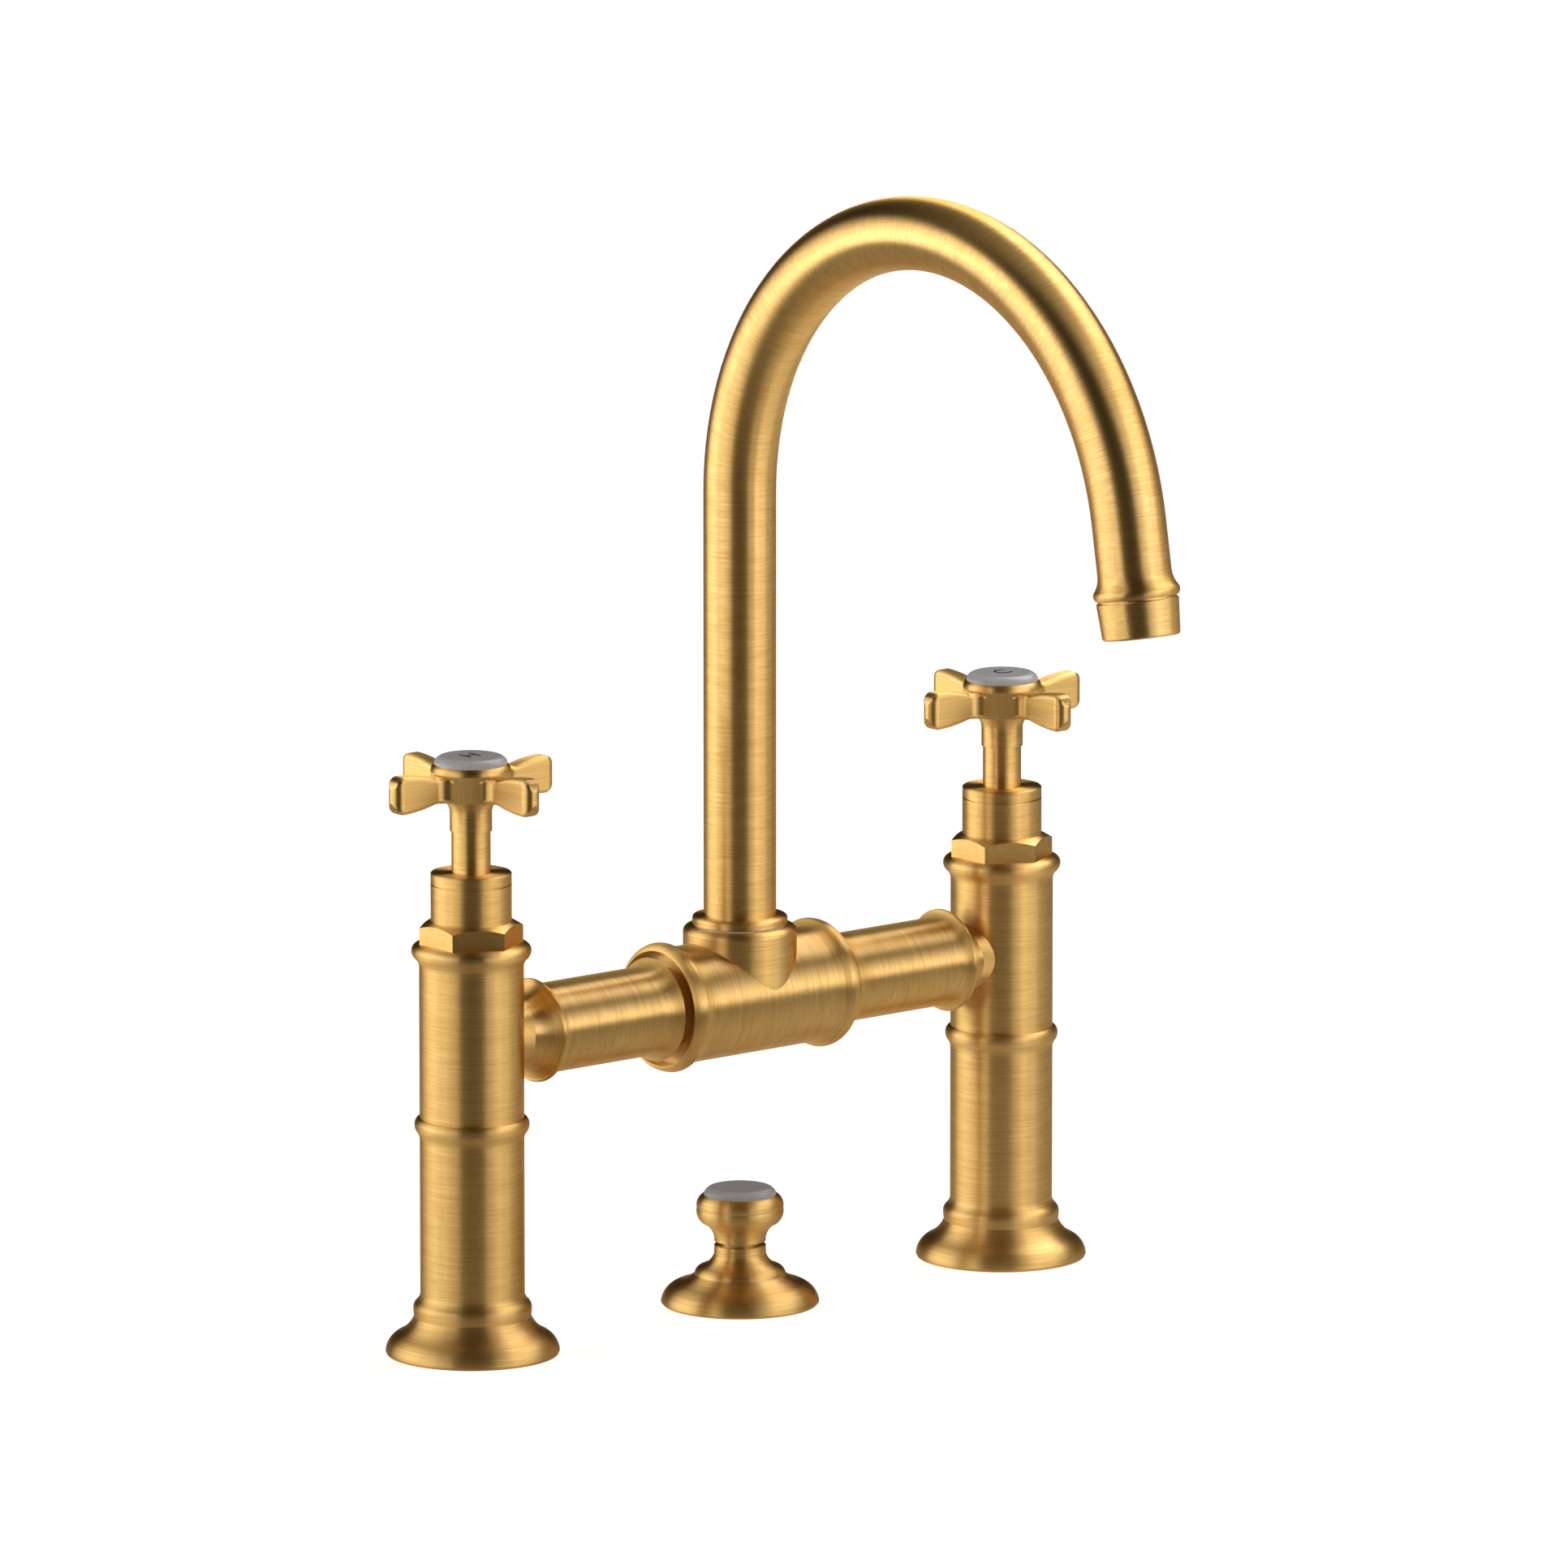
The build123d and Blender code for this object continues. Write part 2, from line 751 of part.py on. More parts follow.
def handle_arm():
    """One arm along +X from the handle's axis: a paddle in elevation and a round-ended bar in plan."""
    root = sqrt((hub_radius + arm_root_fillet) ** 2 - (arm_half_width + arm_root_fillet) ** 2)
    hub_angle = atan2(arm_half_width + arm_root_fillet, root)
    hub_x, hub_y = hub_radius * cos(hub_angle), hub_radius * sin(hub_angle)
    tip_centre = arm_reach - arm_half_width
    corner = arm_reach - arm_crown
    rise = arm_tip_half_height - arm_root_half_height
    with BuildPart() as arm:
        with BuildSketch(level(arm_middle)):
            with BuildLine():
                Line((0, 0), (hub_x, hub_y))
                RadiusArc((hub_x, hub_y), (root, arm_half_width), -arm_root_fillet)
                Line((root, arm_half_width), (tip_centre, arm_half_width))
                ThreePointArc((tip_centre, arm_half_width), (arm_reach, 0), (tip_centre, -arm_half_width))
                Line((tip_centre, -arm_half_width), (root, -arm_half_width))
                RadiusArc((root, -arm_half_width), (hub_x, -hub_y), -arm_root_fillet)
                Line((hub_x, -hub_y), (0, 0))
            make_face()
        extrude(amount=2 * arm_tip_half_height, both=True)
        with BuildSketch(Plane(origin=(0, 0, arm_middle), x_dir=(1, 0, 0), z_dir=(0, -1, 0))) as elevation:
            with BuildLine():
                for up in (1, -1):
                    waist = (root, up * arm_root_half_height)
                    swell = ((root + corner) / 2, up * (arm_root_half_height + 0.76 * rise))
                    Line((0, up * arm_root_half_height), waist)
                    ThreePointArc(waist, swell, (corner, up * arm_tip_half_height))
                crown = (arm_reach + arm_crown_overrun, 0)
                ThreePointArc((corner, arm_tip_half_height), crown, (corner, -arm_tip_half_height))
                Line((0, -arm_root_half_height), (0, arm_root_half_height))
            make_face()
            fillet(elevation.vertices().group_by(Axis.X)[-1], arm_corner)
            waists = elevation.vertices().filter_by_position(Axis.X, root - 0.01, root + 0.01)
            fillet(waists, arm_waist_round)
        extrude(amount=hub_radius, both=True, mode=Mode.INTERSECT)
        # The crown overruns the round end, so that the two meet in a clean rim above and below the middle.
        # Every edge of the free paddle is rounded, except the upright ones where its faces meet its end.
        free = arm.edges().filter_by_position(Axis.X, hub_radius - 0.5, arm_reach)
        uprights = free.filter_by(Axis.Z)
        fillet([edge for edge in free if edge not in uprights], arm_edge_round)
    return arm


def cross_handle(x):
    """Hub and neck turned in one piece with four arms, splined inside for the spindle."""
    neck_top = hub_bottom - neck_flare
    flare_middle = (neck_radius + neck_flare * (1 - cos(pi / 4)), neck_top + neck_flare * sin(pi / 4))
    flare_end = (neck_radius + neck_flare, hub_bottom)
    with BuildPart() as handle:
        with BuildSketch(upright(x)):
            with BuildLine():
                Line((0, stem_sleeve_top), (neck_radius, stem_sleeve_top))
                Line((neck_radius, stem_sleeve_top), (neck_radius, neck_top))
                ThreePointArc((neck_radius, neck_top), flare_middle, flare_end)
                Line(flare_end, (hub_radius - 0.3, hub_bottom))
                Line((hub_radius - 0.3, hub_bottom), (hub_radius, hub_bottom + 0.3))
                Line((hub_radius, hub_bottom + 0.3), (hub_radius, hub_band_top))
                ThreePointArc(
                    (hub_radius, hub_band_top),
                    (hub_radius - 0.25, (hub_band_top + button_seat) / 2 + 0.3),
                    (hub_top_radius, button_seat),
                )
                Line((hub_top_radius, button_seat), (0, button_seat))
                Line((0, button_seat), (0, stem_sleeve_top))
            make_face()
        revolve(axis=vertical_axis(x))
        arm = handle_arm().part
        with Locations((x, 0, 0)):
            with PolarLocations(0, 4):
                add(arm)
        with BuildSketch(level(stem_sleeve_top, x)):
            Circle(spindle_radius + ring_gap)
        extrude(amount=spindle_top - spline_length - stem_sleeve_top, mode=Mode.SUBTRACT)
        with BuildSketch(level(spindle_top - spline_length, x)):
            spline_outline(ring_gap)
        extrude(amount=spline_socket_top - spindle_top + spline_length, mode=Mode.SUBTRACT)
        with BuildSketch(level(spline_socket_top, x)):
            Circle(screw_radius + fit_gap)
        extrude(amount=screw_web_top - spline_socket_top, mode=Mode.SUBTRACT)
        with BuildSketch(level(screw_web_top, x)):
            Circle(screw_pocket_radius)
        extrude(amount=button_seat - screw_web_top, mode=Mode.SUBTRACT)
    return handle


def handle_screw(x):
    """Socket-head screw through the handle's web into the spindle."""
    with BuildPart() as screw:
        with BuildSketch(level(screw_web_top, x)):
            Circle(screw_head_radius)
        extrude(amount=screw_head_height)
        with BuildSketch(level(screw_web_top, x)):
            Circle(screw_radius)
        extrude(amount=-screw_length)
        with BuildSketch(level(screw_web_top + screw_head_height, x)):
            RegularPolygon(radius=hex_key_flats / sqrt(3), side_count=6)
        extrude(amount=-hex_key_depth, mode=Mode.SUBTRACT)
    return screw


def ceramic_button(x, seat, pocket):
    """White ceramic disc with a rounded top edge and a hollow spigot that snaps into a pocket."""
    spigot = pocket - fit_gap
    top = seat + button_height
    with BuildPart() as button:
        with BuildSketch(upright(x)):
            with BuildLine():
                Polyline(
                    (0, seat),
                    (spigot - button_spigot_wall, seat),
                    (spigot - button_spigot_wall, seat - button_spigot_length),
                    (spigot, seat - button_spigot_length),
                    (spigot, seat),
                    (button_radius, seat),
                    (button_radius, seat + button_side_height),
                )
                ThreePointArc(
                    (button_radius, seat + button_side_height),
                    (button_radius - 0.85, top - 0.55),
                    (button_top_radius, top),
                )
                Polyline((button_top_radius, top), (0, top), (0, seat))
            make_face()
        revolve(axis=vertical_axis(x))
    return button


def bridge_tube(x):
    """Tube between the middle body and a pillar: a flare inwards, a rimmed flare outwards."""
    outward = 1 if x > 0 else -1
    socket_end = bridge_body_half - recess_depth - socket_depth
    counterbore = branch_spigot_radius + fit_gap
    rim_start = tube_end - tube_rim_width
    with BuildPart() as tube:
        with BuildSketch(Plane(origin=(0, 0, bridge_height), x_dir=(outward, 0, 0), z_dir=(0, -outward, 0))):
            with BuildLine():
                Polyline(
                    (flare_end, spigot_radius),
                    (tube_groove + groove_width, spigot_radius),
                    (tube_groove + groove_width, tube_groove_floor),
                    (tube_groove, tube_groove_floor),
                    (tube_groove, spigot_radius),
                    (socket_end + seat_gap, spigot_radius),
                    (socket_end + seat_gap, bridge_tube_bore),
                    (tube_end - branch_spigot_length - seat_gap, bridge_tube_bore),
                    (tube_end - branch_spigot_length - seat_gap, counterbore),
                    (tube_end, counterbore),
                    (tube_end, tube_rim_radius - 0.5),
                )
                ThreePointArc(
                    (tube_end, tube_rim_radius - 0.5),
                    (tube_end - 0.4, tube_rim_radius),
                    (rim_start, tube_rim_radius - 0.25),
                )
                ThreePointArc(
                    (rim_start, tube_rim_radius - 0.25),
                    (rim_start - 0.42 * tube_rim_flare, bridge_tube_radius + 0.45),
                    (rim_start - tube_rim_flare, bridge_tube_radius),
                )
                flare_start = flare_end + flare_width
                Line((rim_start - tube_rim_flare, bridge_tube_radius), (flare_start, bridge_tube_radius))
                ThreePointArc(
                    (flare_start, bridge_tube_radius),
                    (flare_end + 0.45 * flare_width, bridge_tube_radius + 0.65),
                    (flare_end + 0.3, flare_radius),
                )
                Polyline((flare_end + 0.3, flare_radius), (flare_end, flare_radius - 0.3), (flare_end, spigot_radius))
            make_face()
        revolve(axis=Axis((0, 0, bridge_height), (1, 0, 0)))
    return tube


def bridge_body():
    """Tee: a horizontal barrel with a bead at each end, and the riser boss that the spout turns in."""
    bead_inner = bridge_body_half - end_bead_round - end_bead_width
    cove_start = bead_inner - end_cove_width
    bead_outer = bridge_body_half - end_bead_round
    socket = spigot_radius + fit_gap
    along = Axis((0, 0, bridge_height), (1, 0, 0))
    with BuildPart() as body:
        with BuildSketch(Plane(origin=(0, 0, bridge_height), x_dir=(1, 0, 0), z_dir=(0, -1, 0))):
            with BuildLine():
                for side in (1, -1):
                    ThreePointArc(
                        (side * cove_start, bridge_body_radius),
                        (side * (cove_start + 0.6 * end_cove_width), bridge_body_radius + 0.55),
                        (side * bead_inner, end_bead_radius - 0.35),
                    )
                    ThreePointArc(
                        (side * bead_inner, end_bead_radius - 0.35),
                        (side * (bead_inner + end_bead_width / 2), end_bead_radius),
                        (side * bead_outer, end_bead_radius - 0.2),
                    )
                    ThreePointArc(
                        (side * bead_outer, end_bead_radius - 0.2),
                        (side * (bead_outer + 0.7 * end_bead_round), end_bead_radius - 0.9),
                        (side * bridge_body_half, lip_radius + 0.3),
                    )
                    Line((side * bridge_body_half, lip_radius + 0.3), (side * bridge_body_half, 0))
                Line((-cove_start, bridge_body_radius), (cove_start, bridge_body_radius))
                Line((-bridge_body_half, 0), (bridge_body_half, 0))
            make_face()
        revolve(axis=along)
        with BuildSketch(level(bridge_height)):
            Circle(boss_radius)
        extrude(amount=boss_top - bridge_height)
        rim = body.edges().filter_by(GeomType.CIRCLE).sort_by(Axis.Z)[-1]
        fillet(rim, min(boss_edge_round, 0.8 * (boss_rise - bridge_body_radius)))
        # Waterway along the barrel, with a socket and a recess at each end for the bridge tubes.
        with BuildSketch(Plane(origin=(0, 0, bridge_height), x_dir=(1, 0, 0), z_dir=(0, -1, 0))):
            recess = bridge_body_half - recess_depth
            Polygon(
                (-bridge_body_half, 0),
                (-bridge_body_half, lip_radius),
                (-recess, lip_radius - 0.4),
                (-recess, socket),
                (-recess + socket_depth, socket),
                (-recess + socket_depth, riser_bore),
                (recess - socket_depth, riser_bore),
                (recess - socket_depth, socket),
                (recess, socket),
                (recess, lip_radius - 0.4),
                (bridge_body_half, lip_radius),
                (bridge_body_half, 0),
                align=None,
            )
        revolve(axis=along, mode=Mode.SUBTRACT)
        # Riser bore for the collar's spigot, and its counterbore for the slide ring.
        with BuildSketch(upright()):
            bore = collar_spigot_radius + turning_gap
            ledge = collar_bottom - slide_ring_height
            Polygon(
                (0, bridge_height),
                (riser_bore, bridge_height),
                (riser_bore, boss_floor),
                (bore, boss_floor),
                (bore, ledge),
                (slide_ring_radius + ring_gap, ledge),
                (slide_ring_radius + ring_gap, boss_top),
                (0, boss_top),
                align=None,
            )
        revolve(axis=vertical_axis(), mode=Mode.SUBTRACT)
        with BuildSketch(Plane(origin=(0, 0, stop_groove_height), x_dir=(1, 0, 0), z_dir=(0, 1, 0))):
            Circle(stop_screw_radius + thread_gap)
        extrude(amount=boss_radius + 5, mode=Mode.SUBTRACT)
    return body


def spout_collar():
    """Foot of the spout: a flange on the boss and a spigot inside it, with seal grooves and a stop groove."""
    socket = spout_radius + thread_gap
    with BuildPart() as collar:
        with BuildSketch(upright()):
            with BuildLine():
                outline = [(spout_bore, collar_spigot_bottom), (collar_spigot_radius, collar_spigot_bottom)]
                for height in collar_grooves:
                    outline.append((collar_spigot_radius, height))
                    outline.append((collar_groove_floor, height))
                    outline.append((collar_groove_floor, height + groove_width))
                    outline.append((collar_spigot_radius, height + groove_width))
                outline.append((collar_spigot_radius, collar_bottom))
                outline.append((collar_radius - 0.3, collar_bottom))
                outline.append((collar_radius, collar_bottom + 0.3))
                outline.append((collar_radius, collar_top - collar_round))
                Polyline(*outline)
                ThreePointArc(
                    (collar_radius, collar_top - collar_round),
                    (collar_radius - collar_round * (1 - cos(pi / 4)), collar_top - collar_round * (1 - sin(pi / 4))),
                    (collar_radius - collar_round, collar_top),
                )
                Polyline(
                    (collar_radius - collar_round, collar_top),
                    (socket, collar_top),
                    (socket, spout_socket_bottom),
                    (spout_bore, spout_socket_bottom),
                    (spout_bore, collar_spigot_bottom),
                )
            make_face()
        revolve(axis=vertical_axis())
        # The retaining screw runs in this groove, which ends where the spout meets its stops.
        stop_angle = swivel_half_angle + degrees(asin(stop_screw_radius / collar_spigot_radius)) + 1.0
        with BuildSketch(Plane(origin=(0, 0, stop_groove_height), x_dir=(0, 1, 0), z_dir=(1, 0, 0))):
            inner = collar_spigot_radius - stop_groove_depth
            Polygon(
                (inner, -stop_groove_half),
                (collar_spigot_radius + 1, -stop_groove_half),
                (collar_spigot_radius + 1, stop_groove_half),
                (inner, stop_groove_half),
                align=None,
            )
        revolve(axis=vertical_axis(), revolution_arc=stop_angle, mode=Mode.SUBTRACT)
        with BuildSketch(Plane(origin=(0, 0, stop_groove_height), x_dir=(0, 1, 0), z_dir=(1, 0, 0))):
            Polygon(
                (inner, -stop_groove_half),
                (collar_spigot_radius + 1, -stop_groove_half),
                (collar_spigot_radius + 1, stop_groove_half),
                (inner, stop_groove_half),
                align=None,
            )
        revolve(axis=vertical_axis(), revolution_arc=-stop_angle, mode=Mode.SUBTRACT)
    return collar


def stop_screw():
    """Grub screw at the back of the boss. It holds the collar down and stops it at both ends of its turn."""
    tip = collar_spigot_radius - stop_screw_tip
    face = boss_radius - stop_screw_inset
    with BuildPart() as screw:
        with BuildSketch(Plane(origin=(0, tip, stop_groove_height), x_dir=(1, 0, 0), z_dir=(0, 1, 0))):
            Circle(stop_screw_radius)
        extrude(amount=face - tip)
        with BuildSketch(Plane(origin=(0, face, stop_groove_height), x_dir=(1, 0, 0), z_dir=(0, 1, 0))):
            RegularPolygon(radius=stop_key_flats / sqrt(3), side_count=6)
        extrude(amount=-stop_key_depth, mode=Mode.SUBTRACT)
    return screw


# The arch of the spout lies in the plane X = 0. The outlet end is turned about the line of its straight tail.
arch_end = (0, -arch_radius * (1 - cos(radians(arch_angle))), arch_start + arch_radius * sin(radians(arch_angle)))
outlet_direction = (0, -sin(radians(arch_angle)), cos(radians(arch_angle)))


def outlet_point(along):
    """Point on the tail's axis, a distance after the end of the arch."""
    return tuple(start + along * part for start, part in zip(arch_end, outlet_direction))


def outlet_plane():
    """Plane through the tail's axis: its X is the radius, its Y runs towards the outlet."""
    normal = Vector(1, 0, 0).cross(Vector(*outlet_direction))
    return Plane(origin=arch_end, x_dir=(1, 0, 0), z_dir=normal)


outlet_axis = Axis(arch_end, outlet_direction)
bell_end = outlet_length - aerator_length - aerator_groove
bell_start = bell_end - bell_length
bell_bore_depth = aerator_spigot_length + aerator_gasket_thickness


def spout_tube():
    """Bent tube: straight riser, arch, straight tail and a bell at the end."""
    ledge = bell_end - bell_bore_depth
    with BuildPart() as spout:
        with BuildLine(Plane.YZ):
            riser = Line((0, spout_socket_bottom), (0, arch_start))
            arch = JernArc(start=riser @ 1, tangent=(0, 1), radius=arch_radius, arc_size=arch_angle)
            Line(arch @ 1, arch @ 1 + (arch % 1) * bell_start)
        with BuildSketch(level(spout_socket_bottom)):
            Circle(spout_radius)
            Circle(spout_bore, mode=Mode.SUBTRACT)
        sweep()
        with BuildSketch(outlet_plane()):
            with BuildLine():
                Line((spout_bore, bell_start), (spout_radius, bell_start))
                bead_start = (bell_radius - 0.45, bell_end - bell_bead)
                bead_crest = (bell_radius, bell_end - 0.6 * bell_bead)
                flare_middle = (spout_radius + 0.35, (bell_start + bell_end - bell_bead) / 2)
                ThreePointArc((spout_radius, bell_start), flare_middle, bead_start)
                ThreePointArc(bead_start, bead_crest, (bell_lip_radius, bell_end))
                Polyline(
                    (bell_lip_radius, bell_end),
                    (bell_bore_radius, bell_end),
                    (bell_bore_radius, ledge),
                    (spout_bore, ledge),
                    (spout_bore, bell_start),
                )
            make_face()
        revolve(axis=outlet_axis)
    return spout


def aerator_housing():
    """Tapered ring under the bell, screwed into it by a short spigot."""
    spigot = bell_bore_radius - thread_gap
    groove_end = bell_end + aerator_groove
    with BuildPart() as housing:
        with BuildSketch(outlet_plane()):
            Polygon(
                (aerator_bore, bell_end - aerator_spigot_length),
                (spigot, bell_end - aerator_spigot_length),
                (spigot, bell_end),
                (aerator_groove_radius, bell_end),
                (aerator_groove_radius, groove_end),
                (aerator_top_radius - 0.3, groove_end),
                (aerator_top_radius, groove_end + 0.3),
                (aerator_bottom_radius, outlet_length - 0.5),
                (aerator_bottom_radius - 0.4, outlet_length),
                (aerator_bore, outlet_length),
                align=None,
            )
        revolve(axis=outlet_axis)
    return housing


def aerator_gasket():
    top = bell_end - aerator_spigot_length - aerator_gasket_thickness
    with BuildPart() as gasket:
        with BuildSketch(Plane(origin=outlet_point(top), x_dir=(1, 0, 0), z_dir=outlet_direction)):
            Circle(bell_bore_radius - fit_gap)
            Circle(spout_bore, mode=Mode.SUBTRACT)
        extrude(amount=aerator_gasket_thickness)
    return gasket


def aerator_insert():
    """Plastic flow straightener: a thin cup whose floor is a square grid."""
    outer = aerator_bore - ring_gap
    face = outlet_length - insert_recess
    insert_length = face - (bell_end - aerator_spigot_length)
    count = int(2 * (outer - insert_wall) / insert_grid_pitch)
    with BuildPart() as insert:
        with BuildSketch(Plane(origin=outlet_point(face), x_dir=(1, 0, 0), z_dir=outlet_direction)):
            Circle(outer)
        extrude(amount=-insert_length)
        with BuildSketch(Plane(origin=outlet_point(face - insert_grid_thickness), x_dir=(1, 0, 0),
                               z_dir=outlet_direction)):
            Circle(outer - insert_wall)
        extrude(amount=-(insert_length - insert_grid_thickness), mode=Mode.SUBTRACT)
        with BuildSketch(Plane(origin=outlet_point(face), x_dir=(1, 0, 0), z_dir=outlet_direction)):
            reach = outer - insert_wall - insert_hole
            for column in range(count):
                for row in range(count):
                    across = (column - (count - 1) / 2) * insert_grid_pitch
                    along = (row - (count - 1) / 2) * insert_grid_pitch
                    if sqrt(across**2 + along**2) < reach:
                        with Locations((across, along)):
                            Rectangle(insert_hole, insert_hole)
        extrude(amount=-insert_grid_thickness, mode=Mode.SUBTRACT)
    return insert


def waste_rosette():
    """Hollow rosette of the pull knob: a neck that flares to a lip, a step, and a second flare."""
    with BuildPart() as rosette:
        with BuildSketch(upright()):
            with BuildLine():
                neck = (rosette_neck_radius, rosette_height - 2.6)
                lip = (rosette_step_radius - 1.9, rosette_step_height + 2.2)
                step = (rosette_step_radius, rosette_step_height)
                waist = (rosette_step_radius + 4.2, rosette_step_height - 2.65)
                Line((0, rosette_height), (rosette_neck_radius - 0.1, rosette_height))
                Line((rosette_neck_radius - 0.1, rosette_height), neck)
                ThreePointArc(neck, (rosette_neck_radius + 0.95, rosette_step_height + 4.1), lip)
                ThreePointArc(lip, (rosette_step_radius - 0.45, rosette_step_height + 1.15), step)
                ThreePointArc(step, (rosette_step_radius + 1.5, rosette_step_height - 1.3), waist)
                ThreePointArc(waist, (rosette_radius - 1.75, 4.3), (rosette_radius, 0.6))
                Polyline((rosette_radius, 0.6), (rosette_radius - 0.5, 0), (0, 0), (0, rosette_height))
            make_face()
        revolve(axis=vertical_axis())
        with BuildSketch(upright()):
            Polygon(
                (0, 0),
                (rosette_gasket_radius + fit_gap, 0),
                (rosette_gasket_radius + fit_gap, gasket_thickness),
                (rosette_step_radius - 3.0, gasket_thickness),
                (rosette_step_radius - 3.0, rosette_step_height - 1.5),
                (bush_radius + fit_gap, rosette_step_height - 1.5),
                (bush_radius + fit_gap, bush_seat),
                (bush_head_radius + fit_gap, bush_seat),
                (bush_head_radius + fit_gap, rosette_height),
                (0, rosette_height),
                align=None,
            )
        revolve(axis=vertical_axis(), mode=Mode.SUBTRACT)
    return rosette


def waste_knob():
    """Turned pull knob with a pocket for its ceramic disc above and a blind hole for the rod below."""
    with BuildPart() as knob:
        with BuildSketch(upright()):
            with BuildLine():
                foot = (knob_foot_radius, knob_bottom + 0.8)
                brim = (knob_radius - 1.5, knob_bottom + knob_brim_rise)
                crest = (knob_radius, knob_bottom + knob_crest_rise)
                Line((0, knob_bottom), (knob_foot_radius, knob_bottom))
                Line((knob_foot_radius, knob_bottom), foot)
                ThreePointArc(foot, (knob_foot_radius + 1.1, foot[1] + 0.58 * (brim[1] - foot[1])), brim)
                ThreePointArc(brim, (knob_radius - 0.3, brim[1] + 1.55), crest)
                ThreePointArc(crest, (knob_radius - 0.5, knob_seat - 1.1), (knob_seat_radius, knob_seat))
                Polyline((knob_seat_radius, knob_seat), (0, knob_seat), (0, knob_bottom))
            make_face()
        revolve(axis=vertical_axis())
        with BuildSketch(level(knob_seat)):
            Circle(knob_pocket_radius)
        extrude(amount=-knob_pocket_depth, mode=Mode.SUBTRACT)
        with BuildSketch(level(knob_bottom)):
            Circle(rod_radius + thread_gap)
        extrude(amount=rod_grip, mode=Mode.SUBTRACT)
    return knob


def waste_rod():
    """Pull rod, screwed into the knob, with a cross hole at its foot for the waste's link."""
    with BuildPart() as rod:
        with BuildSketch(level(-rod_below_deck)):
            Circle(rod_radius)
        extrude(amount=rod_below_deck + knob_bottom + rod_grip - 0.3)
        with BuildSketch(Plane(origin=(0, -rod_radius, -rod_below_deck + rod_hole_rise), x_dir=(1, 0, 0), z_dir=(0, 1, 0))):
            Circle(rod_hole_radius)
        extrude(amount=2 * rod_radius, mode=Mode.SUBTRACT)
        chamfer(rod.edges().filter_by(GeomType.CIRCLE).group_by(Axis.Z)[0], 0.4)
    return rod


def waste_bush():
    """Threaded guide bush that clamps the rosette to the deck, guides the rod and stops the knob."""
    head_height = knob_bottom - bush_seat
    with BuildPart() as bush:
        with BuildSketch(level(bush_seat)):
            Circle(bush_head_radius)
        extrude(amount=head_height)
        with BuildSketch(level(bush_seat)):
            Circle(bush_radius)
        extrude(amount=-(bush_seat + bush_below_deck))
        with BuildSketch(level(knob_bottom)):
            Circle(rod_radius + turning_gap)
        extrude(amount=-(knob_bottom + bush_below_deck), mode=Mode.SUBTRACT)
    return bush


# Clamping pieces below the deck, from the deck down
rubber_top = -deck_thickness
washer_top = rubber_top - clamp_rubber_thickness
backnut_top = washer_top - clamp_washer_thickness
clamp_bore = half_inch_thread_radius + seat_gap
tail_groups = {"base_gaskets": [], "tail_seals": [], "seat_seals": [], "headpart_orings": [],
               "bridge_orings": [], "clamp_rubbers": [], "clamp_washers": [], "backnuts": []}

for side, x in sides.items():
    inward = -1 if x > 0 else 1
    save(base_flange(x), f"{side}_base_flange")
    save(lower_column(x), f"{side}_lower_column")
    save(tail(x), f"{side}_tail")
    save(valve_body(x), f"{side}_valve_body")
    save(headpart_body(x), f"{side}_headpart_body")
    save(fixed_disc(x), f"{side}_fixed_disc")
    save(turning_disc(x), f"{side}_turning_disc")
    save(spindle(x), f"{side}_spindle")
    save(spindle_clip(x), f"{side}_spindle_clip")
    save(bonnet_nut(x), f"{side}_bonnet_nut")
    save(turned_ring(x, hex_top, sleeve_top, bonnet_radius, bonnet_bore_radius), f"{side}_bonnet_sleeve")
    save(bonnet_ring(x), f"{side}_bonnet_ring")
    save(
        turned_ring(x, stem_sleeve_bottom, stem_sleeve_top, stem_sleeve_radius, spindle_radius + thread_gap),
        f"{side}_stem_sleeve",
    )
    save(cross_handle(x), f"{side}_cross_handle")
    save(handle_screw(x), f"{side}_handle_screw")
    save(ceramic_button(x, button_seat, screw_pocket_radius), f"{side}_handle_button")
    save(bridge_tube(x), f"{side}_bridge_tube")

    with BuildPart() as spindle_orings:
        for groove in spindle_grooves:
            middle = level(groove + groove_width / 2, x)
            add(oring(middle, spindle_groove_floor, spindle_radius + turning_gap).part)
    save(spindle_orings, f"{side}_spindle_orings")

    tail_groups["base_gaskets"].append(
        turned_ring(x, 0, gasket_thickness, gasket_outer_radius, gasket_inner_radius))
    tail_groups["tail_seals"].append(turned_ring(
        x, tail_socket_top - tail_seal_thickness, tail_socket_top, half_inch_thread_radius - 0.2, waterway_radius + 0.5))
    tail_groups["seat_seals"].append(
        turned_ring(x, seat_top, fixed_disc_bottom, disc_radius - 0.05, port_radius + 0.3))
    tail_groups["headpart_orings"].append(
        oring(level(land_groove + groove_width / 2, x), land_groove_floor, headpart_bore_radius))
    tail_groups["clamp_rubbers"].append(
        turned_ring(x, washer_top, rubber_top, clamp_rubber_radius, clamp_bore))
    tail_groups["clamp_washers"].append(
        turned_ring(x, backnut_top, washer_top, clamp_washer_radius, clamp_bore))
    tail_groups["backnuts"].append(hexagonal_nut(
        x, backnut_top - backnut_height, backnut_height, backnut_flats, half_inch_thread_radius + thread_gap))
    at_pillar = x + inward * (branch_reach + branch_groove_inset + groove_width / 2)
    at_body = -inward * (tube_groove + groove_width / 2)
    tail_groups["bridge_orings"].append(oring(
        Plane(origin=(at_pillar, 0, bridge_height), z_dir=(1, 0, 0)),
        branch_groove_floor, branch_spigot_radius + fit_gap))
    tail_groups["bridge_orings"].append(oring(
        Plane(origin=(at_body, 0, bridge_height), z_dir=(1, 0, 0)),
        tube_groove_floor, spigot_radius + fit_gap))

